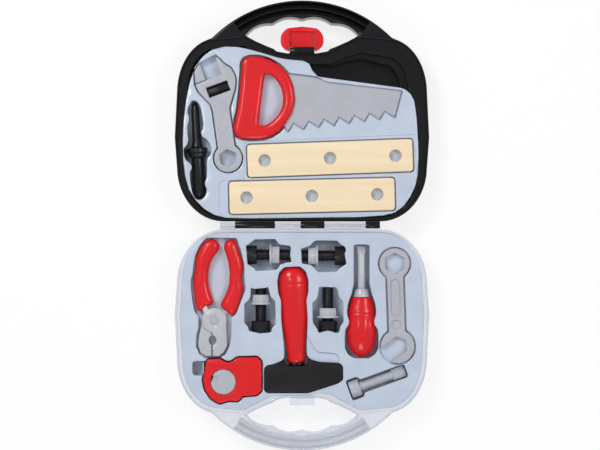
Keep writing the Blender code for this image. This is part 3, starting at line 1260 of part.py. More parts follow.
def main():
    """Build the case, its trays and every tool."""
    clear_scene()
    black = make_material("black_plastic", (0.012, 0.012, 0.014), 0.28)
    clear = make_material("clear_plastic", (0.82, 0.86, 0.92), 0.08, alpha=0.3)
    sheet = make_material("tray_sheet", (0.62, 0.69, 0.77), 0.25)
    red = make_material("red_plastic", (0.74, 0.02, 0.025), 0.3)
    silver = make_material("silver_plastic", (0.62, 0.62, 0.65), 0.35, 0.4)
    dark = make_material("dark_plastic", (0.03, 0.03, 0.035), 0.35)
    wood = make_material("plank_wood", (0.86, 0.74, 0.54), 0.6)
    ribbon = make_material("tape_ribbon", (0.85, 0.8, 0.35), 0.5)
    steel = make_material("steel", (0.6, 0.6, 0.62), 0.3, 1.0)
    back_shell = make_back_shell(black)
    front_shell = make_front_shell(clear)
    make_hinge_rod(steel)
    make_latch(red)
    make_latch_pin(steel)
    saw_pockets = make_saw(red, silver)
    punch_pocket = make_punch(dark)
    clear_ledge(back_shell, [saw_pockets[0], punch_pocket])
    back_pockets = [make_wrench(silver, dark), punch_pocket] + saw_pockets
    back_pockets.append(make_plank("plank_upper", wood, plank_upper_place_share, PLANK_UPPER_TURN))
    back_pockets.append(make_plank("plank_lower", wood, plank_lower_place_share, PLANK_LOWER_TURN))
    make_tray("back_tray", sheet, BACK_BORDER, 1, back_pockets, corner_cut_outline())
    in_back = [item for item in bpy.data.objects if item not in (back_shell, front_shell)]
    carry(back_shell, in_back)
    pliers_pocket = make_pliers(silver, red)
    hammer_pockets = make_hammer(dark, red, black)
    clear_ledge(front_shell, [pliers_pocket, hammer_pockets[0]])
    front_pockets = [make_bolt(number, dark, silver) for number in range(len(bolt_turns))]
    front_pockets += [pliers_pocket, make_screwdriver(silver, red, silver), make_spanner(silver)]
    front_pockets += hammer_pockets + make_tape(red, silver, ribbon) + [make_pin(silver)]
    make_tray("front_tray", sheet, FRONT_BORDER, -1, front_pockets)
    carry(front_shell, [item for item in bpy.data.objects if item not in (back_shell, front_shell, *in_back)])


main()
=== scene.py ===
"""Toy tool case, open flat, dressed for a straight-down view.

Every piece lies over the solid that it stands for, in metres, in the frame's own place.
"""
import json
import math

import bpy
import numpy as np
from mathutils import Matrix, Vector


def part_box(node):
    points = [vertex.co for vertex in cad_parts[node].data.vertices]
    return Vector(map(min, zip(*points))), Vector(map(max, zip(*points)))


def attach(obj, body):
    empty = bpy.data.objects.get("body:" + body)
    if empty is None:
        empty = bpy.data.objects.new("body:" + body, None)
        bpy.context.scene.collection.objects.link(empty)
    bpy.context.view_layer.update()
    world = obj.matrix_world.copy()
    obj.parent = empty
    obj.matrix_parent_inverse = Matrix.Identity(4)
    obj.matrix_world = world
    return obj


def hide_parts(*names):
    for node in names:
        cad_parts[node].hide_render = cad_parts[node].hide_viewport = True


bl_info = {
    "name": "Toy Tool Case",
    "version": (1, 0, 0),
    "blender": (4, 5, 0),
    "location": "View3D > Sidebar > Toy Case",
    "description": "Dresses an open toy tool case: shells, trays, latch and tools",
    "category": "Object",
}

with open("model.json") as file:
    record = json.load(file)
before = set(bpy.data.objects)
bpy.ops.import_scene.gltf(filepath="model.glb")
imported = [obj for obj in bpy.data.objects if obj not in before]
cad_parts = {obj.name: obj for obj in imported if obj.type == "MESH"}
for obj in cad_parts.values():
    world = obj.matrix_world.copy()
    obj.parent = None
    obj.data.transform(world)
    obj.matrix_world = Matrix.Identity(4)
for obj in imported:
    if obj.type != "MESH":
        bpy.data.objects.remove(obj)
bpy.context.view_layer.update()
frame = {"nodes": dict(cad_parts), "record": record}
BODIES = frame["record"]["behaviour"]["bodies"]

MM = 0.001
PIXEL = 1.13 * MM
TOOL_TOP = 0.034
TRAY_TOP = 0.033
RIM = 0.03575
LEDGE = 0.0317
SHELL_FLOOR = 0.0025
KNUCKLE_REACH = 4.45 * MM
SKIRT_FOOT = 4 * MM
SHEET = 0.7 * MM
CUTTER_TOP = 0.06

# Heights of the pockets' floors that follow the trays' solids
BACK_FLOORS = (0.027, 0.0257, 0.0227, 0.0212)
FRONT_FLOORS = (0.0272, 0.0232, 0.0138, 0.0129, 0.0092)

# Corners of a box round the latch's seat in the back shell
SEAT_BOX = ((-14.06 * MM, 195 * MM, 23.7 * MM), (14.06 * MM, 204 * MM, 35.7 * MM))

# Turned pieces: (along, radius) in shares of the length and the widest radius
PUNCH_PROFILE = (
    (0.0, 0.0), (0.0, 0.2), (0.03, 0.5), (0.07, 0.62), (0.42, 0.62), (0.44, 0.86), (0.475, 0.86),
    (0.485, 1.0), (0.525, 1.0), (0.54, 0.56), (0.6, 0.42), (0.93, 0.38), (0.985, 0.24), (1.0, 0.12),
    (1.0, 0.0),
)
HAMMER_GRIP = (
    (0.0, 0.0), (0.0, 0.56), (0.1, 0.62), (0.2, 0.7), (0.32, 0.8), (0.43, 0.89), (0.55, 0.95), (0.68, 0.985),
    (0.78, 1.0), (0.86, 0.97), (0.91, 0.88), (0.95, 0.72), (0.98, 0.47), (0.995, 0.2), (1.0, 0.0),
)
DRIVER_GRIP = (
    (0.0, 0.0), (0.0, 0.66), (0.04, 0.72), (0.12, 0.79), (0.2, 0.88), (0.25, 0.92), (0.27, 0.9),
    (0.32, 0.9), (0.4, 0.93), (0.48, 0.985), (0.58, 1.0), (0.72, 0.95), (0.8, 0.87), (0.87, 0.74),
    (0.93, 0.56), (0.975, 0.33), (0.995, 0.12), (1.0, 0.0),
)

# Outlines read from the photograph, as points of the picture (see spot)
BACK_TRAY = (
    (196, 65), (203, 56), (212, 49.5), (225, 46.3), (238, 46.8), (250, 49.3), (265, 53.5), (278, 57.5),
    (290, 59.5), (303, 60.5), (309.5, 63.5), (312, 70), (318, 76.5), (400, 87.5), (405, 89), (411, 94),
    (414.5, 101), (416.5, 115), (418, 135), (418.8, 155), (417.8, 175), (415.5, 186), (411, 196),
    (404, 206), (396, 212), (384, 215.5), (360, 217.2), (300, 218), (250, 218.6), (226, 218), (214, 215),
    (204, 209), (196, 201), (189, 190), (185, 176), (183, 160), (182.6, 140), (183.5, 120), (186, 100),
    (189.5, 82),
)
BACK_TERRACE = (
    (219, 184), (222, 180.5), (244, 179.5), (244.5, 142), (414, 134.5), (417, 174), (404, 203), (394, 213),
    (340, 216), (224, 217), (219, 212),
)
FRONT_TERRACE = (
    (294, 324), (303, 330), (311, 342), (314, 349), (319, 352.5), (336, 353.5), (339.5, 358), (336, 374),
    (294, 374),
)
JAW_POCKET = ((197, 64), (216, 54), (224, 72), (203, 80))
PUNCH_POCKET = (
    (192, 100.5), (196, 101), (199, 104), (201, 110), (202, 117), (203, 124), (202.5, 129), (200.5, 132),
    (202, 137), (206, 139), (209, 143), (211, 148), (211, 153), (209, 156), (207, 158), (206.3, 163),
    (206.5, 172), (206, 179), (204.5, 182), (205, 186), (206.5, 189), (206, 193), (204, 197), (201, 199.5),
    (198, 199.8), (195, 198), (192.5, 193), (191, 186), (190, 178), (190, 172), (191.8, 169), (191.5, 165),
    (189.5, 162.5), (187, 161), (185, 158), (184, 154), (183.8, 149), (185, 147), (187, 145), (188.5, 140),
    (187.5, 133), (187.5, 126), (189, 121), (189, 116), (187.5, 112.5), (188, 108),
)
HAMMER_POCKET = (
    (308.4, 280.4), (305.8, 271.5), (299.9, 266.5), (284.5, 267.2), (279.1, 272.6), (277.3, 281.7),
    (278.4, 293.5), (281.1, 301.2), (281.3, 319.5), (284, 345), (284.5, 357), (282, 361), (275, 364),
    (266.7, 365.8), (264.1, 368.5), (264.1, 390.4), (266.8, 393.2), (307.9, 393.2), (338.4, 383.4),
    (343, 380), (343, 366.4), (339.1, 363), (319.5, 362.1), (310.5, 359.5), (307, 355), (306.8, 345),
    (307.6, 318.4), (307, 309.6), (306.3, 300.1), (308.3, 292.2),
)
BOLT_POCKETS = (
    ((246, 246), (250.5, 243), (255, 239.5), (275, 239.2), (279, 244.5), (290, 246), (291, 248.5),
     (290, 255), (291.5, 262), (286, 262.5), (280, 265), (277, 269.5), (256, 271), (254, 268),
     (247.5, 264), (247, 257)),
    ((301, 249), (310, 246), (314, 241.5), (318, 240.5), (337, 240.8), (340, 244), (345, 247), (346, 250),
     (344.5, 254), (346.5, 264), (340, 268), (337, 271.5), (318, 272), (314.5, 268), (311, 265),
     (302, 263.5)),
    ((251, 288), (254, 289), (266, 288), (268, 287), (270.5, 297), (275, 301.5), (275.5, 324), (272, 328),
     (271, 332.5), (260, 333.5), (249, 331), (248, 327), (244.5, 323), (244.5, 304), (248, 301),
     (250.5, 297)),
    ((319, 288), (321, 286.8), (333, 287.5), (335, 286.8), (337.5, 290), (339, 297), (343, 302),
     (343.5, 322), (340.5, 326), (339, 332.5), (336, 333), (328, 330.5), (319, 333), (316, 327),
     (313, 323), (312.5, 303), (317, 299), (318.5, 294)),
)
LEFT_GRIP = (
    (208.5, 239.6), (212.5, 239), (216.5, 240.5), (219.2, 244), (219.3, 248), (217.5, 252), (213.5, 257),
    (210.5, 263), (208.5, 271), (208, 280), (209, 288), (211.5, 296), (213.5, 301.5), (212, 305),
    (206, 307), (203, 310.5), (200, 311.5), (196.5, 310), (195, 303), (194, 295), (192.8, 285),
    (193.3, 277), (195.3, 270), (194.8, 262), (197, 254), (201, 246), (204.5, 241.5),
)
RIGHT_GRIP = (
    (224.5, 243), (228, 240), (232, 239), (235.3, 240.8), (237.5, 246), (240, 254), (242.5, 262),
    (243.3, 268), (242, 275), (242.3, 283), (243.3, 288), (241.5, 296), (239, 304), (236, 312), (233, 316),
    (230.5, 315.5), (227, 312), (221.5, 308), (220, 305), (222.5, 300), (226, 293), (229, 284),
    (229.5, 273), (228, 262), (225.5, 254), (223.6, 248),
)

WRENCH_DIMPLES = (
    (214.7, 106.4), (225.3, 103.3), (215.9, 114.2), (225.6, 112.2), (219.0, 129.8), (228.0, 128.3),
    (220.2, 138.8), (228.8, 136.9),
)
SPANNER_SLOT = ((390.6, 282), (395.2, 278.3), (399.8, 282), (400.6, 313), (396, 317.3), (391.4, 313))
SPANNER_EYE = (396.2, 324.6)

# Bolts: place in plan and turn in degrees
BOLTS = (
    ((-0.062784, -0.033284), 0),
    ((0.048672, -0.034344), 180),
    ((-0.0468, -0.119992), 90),
    ((0.029376, -0.119992), 90),
)
BOLT_AXIS = TOOL_TOP - 0.0128
BOLT_NECK = 0.01125
THREAD_START = 0.0112
THREAD_RADIUS = 0.0065
THREAD_PITCH = 0.0027
THREAD_DEPTH = 0.0009


# Modelling helpers

def select_only(*pieces):
    """Select these pieces alone and make the first one active."""
    bpy.ops.object.select_all(action="DESELECT")
    for piece in pieces:
        piece.select_set(True)
    bpy.context.view_layer.objects.active = pieces[0]


def apply_modifier(piece, kind, **settings):
    """Add one modifier, set it and apply it."""
    select_only(piece)
    bpy.ops.object.modifier_add(type=kind)
    modifier = piece.modifiers[-1]
    for key, value in settings.items():
        setattr(modifier, key, value)
    bpy.ops.object.modifier_apply(modifier=modifier.name)


def copied(node, name):
    """A piece that starts as the frame's solid, its triangles merged into faces."""
    piece = bpy.data.objects.new(name, frame["nodes"][node].data.copy())
    bpy.context.scene.collection.objects.link(piece)
    select_only(piece)
    bpy.ops.mesh.customdata_custom_splitnormals_clear()
    bpy.ops.object.mode_set(mode="EDIT")
    bpy.ops.mesh.select_all(action="SELECT")
    bpy.ops.mesh.remove_doubles(threshold=0.00001)
    bpy.ops.mesh.dissolve_limited(angle_limit=math.radians(0.8))
    bpy.ops.object.mode_set(mode="OBJECT")
    return piece


def softened(piece, width, segments=2, angle=30):
    """Round a piece's sharp edges and shade it."""
    apply_modifier(
        piece, "BEVEL", width=width, segments=segments, limit_method="ANGLE", angle_limit=math.radians(angle),
        use_clamp_overlap=True)
    return smoothed(piece, 35)


def spot(x, y):
    """Where a point of the photograph lies in plan."""
    return ((x - 302) * PIXEL, (225.5 - y) * PIXEL)


def spots(points):
    """Where the points of an outline in the photograph lie in plan."""
    return [spot(*point) for point in points]


def flat_outlines(node, level=None):
    """Outlines and holes of a solid's flat faces at one height, or else its top, largest first."""
    mesh = frame["nodes"][node].data
    level = max(vertex.co.z for vertex in mesh.vertices) if level is None else level
    following = {}
    for face in mesh.polygons:
        if face.normal.z > 0.99 and abs(level - face.center.z) < 0.2 * MM:
            ring = [tuple(round(value, 6) for value in mesh.vertices[i].co.xy) for i in face.vertices]
            for start, end in zip(ring, ring[1:] + ring[:1]):
                if start in following.get(end, ()):
                    following[end].remove(start)
                else:
                    following.setdefault(start, []).append(end)
    loops = []
    while any(following.values()):
        first = next(start for start, ends in following.items() if ends)
        loop = [first]
        while following.get(loop[-1]):
            loop.append(following[loop[-1]].pop())
        loops.append(loop[:-1])
    return sorted(loops, key=lambda loop: -abs(enclosed(loop)))


def enclosed(loop):
    """Area inside a loop, negative where it runs clockwise."""
    return sum(a[0] * b[1] - a[1] * b[0] for a, b in zip(loop, loop[1:] + loop[:1])) / 2


def averaged(loop, spread):
    """A loop of even points, each averaged with its neighbours over a distance."""
    points = np.array(loop)
    step = np.hypot(*(points - np.roll(points, 1, 0)).T).mean()
    gap = np.minimum(np.arange(len(loop)), len(loop) - np.arange(len(loop))) * step
    weight = np.exp(-0.5 * (gap / spread) ** 2)
    weight = np.fft.fft(weight / weight.sum())
    eased = [np.fft.ifft(np.fft.fft(points[:, k]) * weight).real for k in (0, 1)]
    return [(float(x), float(y)) for x, y in zip(*eased)]


def grown(loop, distance):
    """A loop of even points moved outwards by the same distance all round."""
    side = distance * math.copysign(1.0, enclosed(loop))
    moved = []
    for before, here, after in zip(loop[-1:] + loop[:-1], loop, loop[1:] + loop[:1]):
        first = (Vector(here) - Vector(before)).normalized()
        second = (Vector(after) - Vector(here)).normalized()
        normal = Vector((first.y + second.y, -first.x - second.x))
        normal *= side / max(1 + first.dot(second), 0.5)
        moved.append((here[0] + normal.x, here[1] + normal.y))
    return averaged(moved, abs(distance)) if abs(distance) > 0.1 * MM else moved


def flowing(loop, spread, step=0.7 * MM):
    """A closed outline in even steps, its corners eased over a distance."""
    closed = np.array(list(loop) + [loop[0]])
    along = np.concatenate([[0.0], np.cumsum(np.hypot(*np.diff(closed, axis=0).T))])
    count = max(24, int(along[-1] / step))
    marks = np.linspace(0.0, along[-1], count, endpoint=False)
    return averaged(list(zip(*(np.interp(marks, along, closed[:, k]) for k in (0, 1)))), spread)


def oval(centre, half_width, half_height, turn=0.0):
    """A loop of even points round an ellipse."""
    c, s = math.cos(math.radians(turn)), math.sin(math.radians(turn))
    loop = []
    for i in range(32):
        x, y = half_width * math.cos(math.pi * i / 16), half_height * math.sin(math.pi * i / 16)
        loop.append((centre[0] + x * c - y * s, centre[1] + x * s + y * c))
    return loop


def slab(name, loop, low, high):
    """A plate between two heights: a filled circle drawn out to the loop and extruded."""
    bpy.ops.object.select_all(action="DESELECT")
    bpy.ops.mesh.primitive_circle_add(vertices=len(loop), radius=0.01, fill_type="NGON")
    piece = bpy.context.active_object
    piece.name = name
    for vertex, point in zip(piece.data.vertices, loop):
        vertex.co = (point[0], point[1], low)
    bpy.ops.object.mode_set(mode="EDIT")
    bpy.ops.mesh.select_all(action="SELECT")
    bpy.ops.mesh.extrude_region_move(TRANSFORM_OT_translate={"value": (0.0, 0.0, high - low)})
    bpy.ops.mesh.select_all(action="SELECT")
    bpy.ops.mesh.normals_make_consistent(inside=False)
    bpy.ops.object.mode_set(mode="OBJECT")
    return piece


def lofted(name, rings):
    """A closed body through rings of as many points each: a filled circle, extruded from ring to ring."""
    bpy.ops.object.select_all(action="DESELECT")
    bpy.ops.mesh.primitive_circle_add(vertices=len(rings[0][0]), radius=0.01, fill_type="NGON")
    piece = bpy.context.active_object
    piece.name = name
    for vertex, point in zip(piece.data.vertices, rings[0][0]):
        vertex.co = (point[0], point[1], rings[0][1])
    order = list(range(len(rings[0][0])))
    for (loop, _), (above, high) in zip(rings, rings[1:]):
        places = {tuple(piece.data.vertices[order[i]].co): i for i in range(len(loop))}
        bpy.ops.object.mode_set(mode="EDIT")
        bpy.ops.mesh.extrude_region_move(TRANSFORM_OT_translate={"value": (0.0, 0.0, 0.0)})
        bpy.ops.object.mode_set(mode="OBJECT")
        order = [0] * len(loop)
        for vertex in piece.data.vertices:
            if vertex.select:
                order[places[tuple(vertex.co)]] = vertex.index
        for index, point in zip(order, above):
            piece.data.vertices[index].co = (point[0], point[1], high)
    bpy.ops.object.mode_set(mode="EDIT")
    bpy.ops.mesh.select_all(action="SELECT")
    bpy.ops.mesh.normals_make_consistent(inside=False)
    bpy.ops.object.mode_set(mode="OBJECT")
    return piece


def domed(name, loop, low, high, radius, steps=4):
    """A plate whose top edge is rounded, over an outline."""
    rings = [(loop, low)]
    for i in range(steps + 1):
        turn = math.radians(90 * i / steps)
        rings.append((grown(loop, radius * (math.cos(turn) - 1)), high - radius + radius * math.sin(turn)))
    return lofted(name, rings)


def flared(loop, low, high, radius, end=CUTTER_TOP, steps=4):
    """A cutter that leaves a rounded lip of that radius at a height."""
    rings = [(loop, low)]
    for i in range(steps + 1):
        turn = math.radians(90 * i / steps)
        rings.append((grown(loop, radius * (1 - math.cos(turn))), high - radius + radius * math.sin(turn)))
    rings.append((rings[-1][0], end))
    return lofted("cutter", rings)


def gridded(piece, cell, top_only=False):
    """Cut a piece's faces into cells, or its highest flat face only."""
    select_only(piece)
    corners = np.array([vertex.co for vertex in piece.data.vertices])
    low, high = corners.min(0), corners.max(0)
    bpy.ops.object.mode_set(mode="EDIT")
    bpy.ops.mesh.select_mode(type="FACE")
    bpy.ops.mesh.select_all(action="DESELECT")
    if top_only:
        bpy.ops.object.mode_set(mode="OBJECT")
        for face in piece.data.polygons:
            face.select = face.normal.z > 0.99 and face.center.z > high[2] - 0.01 * MM
        bpy.ops.object.mode_set(mode="EDIT")
        bpy.ops.mesh.hide(unselected=True)
    for axis in (0, 1):
        count = max(1, round((high[axis] - low[axis]) / cell))
        normal = (1.0, 0.0, 0.0) if axis == 0 else (0.0, 1.0, 0.0)
        for i in range(1, count):
            place = [0.0, 0.0, 0.0]
            place[axis] = low[axis] + (high[axis] - low[axis]) * (i + 0.013) / count
            bpy.ops.mesh.select_all(action="SELECT")
            bpy.ops.mesh.bisect(plane_co=place, plane_no=normal)
    if top_only:
        bpy.ops.mesh.reveal(select=False)
    bpy.ops.mesh.select_mode(type="VERT")
    bpy.ops.object.mode_set(mode="OBJECT")
    return piece


def smoothed(piece, angle=40):
    """Shade a piece smooth, save for its sharp edges."""
    select_only(piece)
    bpy.ops.object.shade_smooth_by_angle(angle=math.radians(angle))
    return piece


def pillowed(name, loops, low, high, radius, cell=2.0 * MM):
    """A plate with a full round all along its outline and its holes: as high as a circle at that distance."""
    outer, *holes = loops

    def rise(distance):
        return high - radius + math.sqrt(radius ** 2 - (radius - min(distance, radius)) ** 2)

    offsets = (0.0, 0.25 * MM, 0.7 * MM, 1.3 * MM)
    rings = [(outer, low)] + [(grown(outer, -offset), rise(offset)) for offset in offsets]
    piece = lofted(name, rings)
    for hole in holes:
        rings = [(hole, low - MM)] + [(grown(hole, offset), rise(offset)) for offset in offsets]
        cut_away(piece, [lofted("cutter", rings + [(rings[-1][0], high + MM)])])
    gridded(piece, cell, True)
    edge = np.array([point for loop in loops for point in loop])
    for vertex in piece.data.vertices:
        if vertex.co.z > rise(offsets[-1]) - 0.01 * MM:
            distance = np.hypot(*(edge - np.array(vertex.co.xy)).T).min()
            vertex.co.z = max(rise(distance), rise(offsets[-1]))
    return smoothed(piece, 50)


def redrawn(node, name, spread=0.5 * MM, edge=0.7 * MM, cell=7 * MM):
    """A plate over a solid's flat top: its outline and holes again, in even curves with rounded edges."""
    low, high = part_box(node)
    outer, *holes = flat_outlines(node)
    piece = gridded(domed(name, flowing(outer, spread), low[2], high[2], edge), cell)
    cut_away(piece, [flared(flowing(hole, spread), low[2] - 5 * MM, high[2], edge) for hole in holes])
    return smoothed(piece)


def placed(piece, place, turn=0.0, height=0.0):
    """Put a piece in its place, in its mesh: turned in degrees about Z, then moved."""
    matrix = Matrix.Translation((place[0], place[1], height)) @ Matrix.Rotation(math.radians(turn), 4, "Z")
    piece.data.transform(matrix)
    return piece


def smooth_profile(points, length, radius, step):
    """The profile in metres with points no further apart than step, on a curve through the given ones."""
    route = [Vector((x * length, r * radius)) for x, r in points]
    dense = [route[0]]
    for i in range(len(route) - 1):
        before = route[max(i - 1, 0)]
        start, end = route[i], route[i + 1]
        after = route[min(i + 2, len(route) - 1)]
        count = max(1, round((end - start).length / step))
        for k in range(1, count + 1):
            t = k / count
            bend = start * 2 + (end - before) * t
            bend += (before * 2 - start * 5 + end * 4 - after) * t**2
            bend += (start * 3 - before - end * 3 + after) * t**3
            point = bend / 2
            point.y = max(point.y, 0.0)
            dense.append(point)
    return dense


def lathe(name, profile, sides=40):
    """A closed body spun about the X axis from (along, radius) points that start and end at radius 0."""
    bpy.ops.object.select_all(action="DESELECT")
    bpy.ops.mesh.primitive_plane_add(size=MM, location=(0.0, 0.0, 0.0))
    piece = bpy.context.active_object
    piece.name = name
    bpy.ops.object.mode_set(mode="EDIT")
    bpy.ops.mesh.select_all(action="SELECT")
    bpy.ops.mesh.merge(type="CENTER")
    bpy.ops.transform.translate(value=(profile[0][0], profile[0][1], 0.0))
    for start, end in zip(profile, profile[1:]):
        move = {"value": (end[0] - start[0], end[1] - start[1], 0.0)}
        bpy.ops.mesh.extrude_region_move(TRANSFORM_OT_translate=move)
    bpy.ops.mesh.select_all(action="SELECT")
    bpy.ops.mesh.spin(steps=sides, angle=2 * math.pi, center=(0.0, 0.0, 0.0), axis=(1.0, 0.0, 0.0))
    bpy.ops.mesh.select_all(action="SELECT")
    bpy.ops.mesh.remove_doubles(threshold=0.000002)
    bpy.ops.mesh.normals_make_consistent(inside=False)
    bpy.ops.object.mode_set(mode="OBJECT")
    return smoothed(piece)


def grooved(profile, at, width, depth):
    """A dense profile with a shallow ring groove."""
    ring = []
    for point in profile:
        dip = depth * math.exp(-((point.x - at) / width) ** 2) if point.y > depth else 0.0
        ring.append(Vector((point.x, point.y - dip)))
    return ring


def threaded(piece, start, end, pitch, depth):
    """Raise a screw thread on a spun piece between two places along it."""
    for vertex in piece.data.vertices:
        along, y, z = vertex.co
        radius = math.hypot(y, z)
        if radius < 2 * depth or not start < along < end:
            continue
        phase = (along / pitch - math.atan2(z, y) / (2 * math.pi)) % 1.0
        ridge = abs(2 * phase - 1)
        factor = (radius - depth * ridge) / radius
        vertex.co.y *= factor
        vertex.co.z *= factor


def fluted(piece, start, end, count, depth):
    """Press shallow lengthwise flutes into a spun piece between two places along it."""
    for vertex in piece.data.vertices:
        along, y, z = vertex.co
        if not start < along < end:
            continue
        fade = math.sin(math.pi * (along - start) / (end - start)) ** 0.5
        wave = max(0.0, math.cos(count * math.atan2(z, y))) ** 3
        factor = 1 - depth * fade * wave
        vertex.co.y *= factor
        vertex.co.z *= factor


def cut_away(piece, cutters):
    """Cut other pieces from this one and delete them."""
    for cutter in cutters:
        apply_modifier(piece, "BOOLEAN", operation="DIFFERENCE", object=cutter, solver="EXACT")
        bpy.data.objects.remove(cutter)
    return piece


def block(low, high, turn=0.0, centre=(0.0, 0.0)):
    """A cutter: a box between two corners, turned about Z and moved to a place."""
    bpy.ops.object.select_all(action="DESELECT")
    bpy.ops.mesh.primitive_cube_add(size=1.0)
    cutter = bpy.context.active_object
    size = [b - a for a, b in zip(low, high)]
    middle = [(a + b) / 2 for a, b in zip(low, high)]
    cutter.data.transform(Matrix.Translation(middle) @ Matrix.Diagonal((*size, 1.0)))
    return placed(cutter, centre, turn)


def ball(centre, radius):
    """A cutter: a small sphere."""
    bpy.ops.object.select_all(action="DESELECT")
    bpy.ops.mesh.primitive_uv_sphere_add(segments=16, ring_count=10, radius=radius)
    cutter = bpy.context.active_object
    cutter.data.transform(Matrix.Translation(centre))
    return cutter


def joined(name, *pieces):
    """Several pieces as one."""
    select_only(*pieces)
    bpy.ops.object.join()
    piece = bpy.context.active_object
    piece.name = name
    return piece


def stands_for(piece, material, slot, *nodes):
    """Give a piece its finish, and let it replace these solids and ride with them."""
    piece.data.materials.clear()
    piece.data.materials.append(material)
    body = next(name for name, members in BODIES.items() if nodes[0] in members)
    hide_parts(*nodes)
    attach(piece, body)
    return piece


def dressed(node, name, look, slot, width, segments=2, angle=30):
    """A solid with its edges rounded and its finish on, in that solid's place."""
    return stands_for(softened(copied(node, name), width, segments, angle), finish(look), slot, node)


# Finishes

def moulded(name, colour, roughness, specular=0.5, tone=0.05, grain=0.04, metallic=0.0):
    """Moulded plastic: slow changes of tone, fine changes of gloss and a faint relief."""
    material = bpy.data.materials.new(name)
    material.use_nodes = True
    nodes, links = material.node_tree.nodes, material.node_tree.links
    shader = nodes["Principled BSDF"]
    shader.inputs["Specular IOR Level"].default_value = specular
    shader.inputs["Metallic"].default_value = metallic
    place = nodes.new("ShaderNodeTexCoord")
    cloud = nodes.new("ShaderNodeTexNoise")
    cloud.inputs["Scale"].default_value = 38.0
    cloud.inputs["Detail"].default_value = 3.0
    links.new(place.outputs["Object"], cloud.inputs["Vector"])
    shade = nodes.new("ShaderNodeValToRGB")
    shade.color_ramp.elements[0].position = 0.3
    shade.color_ramp.elements[1].position = 0.7
    shade.color_ramp.elements[0].color = (*[c * (1 - tone) for c in colour], 1.0)
    shade.color_ramp.elements[1].color = (*[min(1.0, c * (1 + tone)) for c in colour], 1.0)
    links.new(cloud.outputs["Fac"], shade.inputs["Fac"])
    links.new(shade.outputs["Color"], shader.inputs["Base Color"])
    fine = nodes.new("ShaderNodeTexNoise")
    fine.inputs["Scale"].default_value = 900.0
    fine.inputs["Detail"].default_value = 2.0
    links.new(place.outputs["Object"], fine.inputs["Vector"])
    gloss = nodes.new("ShaderNodeMapRange")
    gloss.inputs["To Min"].default_value = roughness - 0.05
    gloss.inputs["To Max"].default_value = roughness + 0.07
    links.new(fine.outputs["Fac"], gloss.inputs["Value"])
    links.new(gloss.outputs["Result"], shader.inputs["Roughness"])
    relief = nodes.new("ShaderNodeBump")
    relief.inputs["Strength"].default_value = grain
    relief.inputs["Distance"].default_value = 0.0004
    links.new(fine.outputs["Fac"], relief.inputs["Height"])
    links.new(relief.outputs["Normal"], shader.inputs["Normal"])
    return material


def painted_shade_pocket(name, colour, deep_painted_shade, wall_painted_shade):
    """The formed sheet inside its pockets, with painted shade: darker with depth, and darkest on steep pocket
    walls, standing in for the shade in the gaps round the tools.
    """
    material = moulded(name, colour, 0.16, tone=0.04)
    nodes, links = material.node_tree.nodes, material.node_tree.links
    shader = nodes["Principled BSDF"]
    pale = shader.inputs["Base Color"].links[0].from_socket
    place = nodes.new("ShaderNodeTexCoord")
    spot_parts = nodes.new("ShaderNodeSeparateXYZ")
    links.new(place.outputs["Object"], spot_parts.inputs["Vector"])
    # painted shade: the sheet darkens from the tray's top down into the deep pockets
    depth = nodes.new("ShaderNodeMapRange")
    depth.inputs["From Min"].default_value = 0.0235
    depth.inputs["From Max"].default_value = 0.0325
    links.new(spot_parts.outputs["Z"], depth.inputs["Value"])
    depth_shade_mix = nodes.new("ShaderNodeMix")
    depth_shade_mix.data_type = "RGBA"
    links.new(depth.outputs["Result"], depth_shade_mix.inputs["Factor"])
    depth_shade_inputs = [socket for socket in depth_shade_mix.inputs if socket.type == "RGBA"]
    depth_shade_inputs[0].default_value = (*deep_painted_shade, 1.0)
    links.new(pale, depth_shade_inputs[1])
    normal_parts = nodes.new("ShaderNodeSeparateXYZ")
    links.new(place.outputs["Normal"], normal_parts.inputs["Vector"])
    # painted shade: steep pocket walls darken to the wall colour
    level = nodes.new("ShaderNodeMapRange")
    level.inputs["From Min"].default_value = 0.2
    level.inputs["From Max"].default_value = 0.85
    links.new(normal_parts.outputs["Z"], level.inputs["Value"])
    wall_shade_mix = nodes.new("ShaderNodeMix")
    wall_shade_mix.data_type = "RGBA"
    wall_shade_inputs = [socket for socket in wall_shade_mix.inputs if socket.type == "RGBA"]
    wall_shade_inputs[0].default_value = (*wall_painted_shade, 1.0)
    links.new(level.outputs["Result"], wall_shade_mix.inputs["Factor"])
    links.new([socket for socket in depth_shade_mix.outputs if socket.type == "RGBA"][0], wall_shade_inputs[1])
    links.new([socket for socket in wall_shade_mix.outputs if socket.type == "RGBA"][0], shader.inputs["Base Color"])
    return material


def clear_plastic(name, colour):
    """Clear plastic: thin where it is looked straight through, denser where it is seen edge-on."""
    material = moulded(name, colour, 0.1, tone=0.03, grain=0.03)
    nodes, links = material.node_tree.nodes, material.node_tree.links
    shader = nodes["Principled BSDF"]
    facing = nodes.new("ShaderNodeLayerWeight")
    facing.inputs["Blend"].default_value = 0.35
    density = nodes.new("ShaderNodeMapRange")
    density.inputs["To Min"].default_value = 0.3
    density.inputs["To Max"].default_value = 0.85
    links.new(facing.outputs["Facing"], density.inputs["Value"])
    links.new(density.outputs["Result"], shader.inputs["Alpha"])
    return material


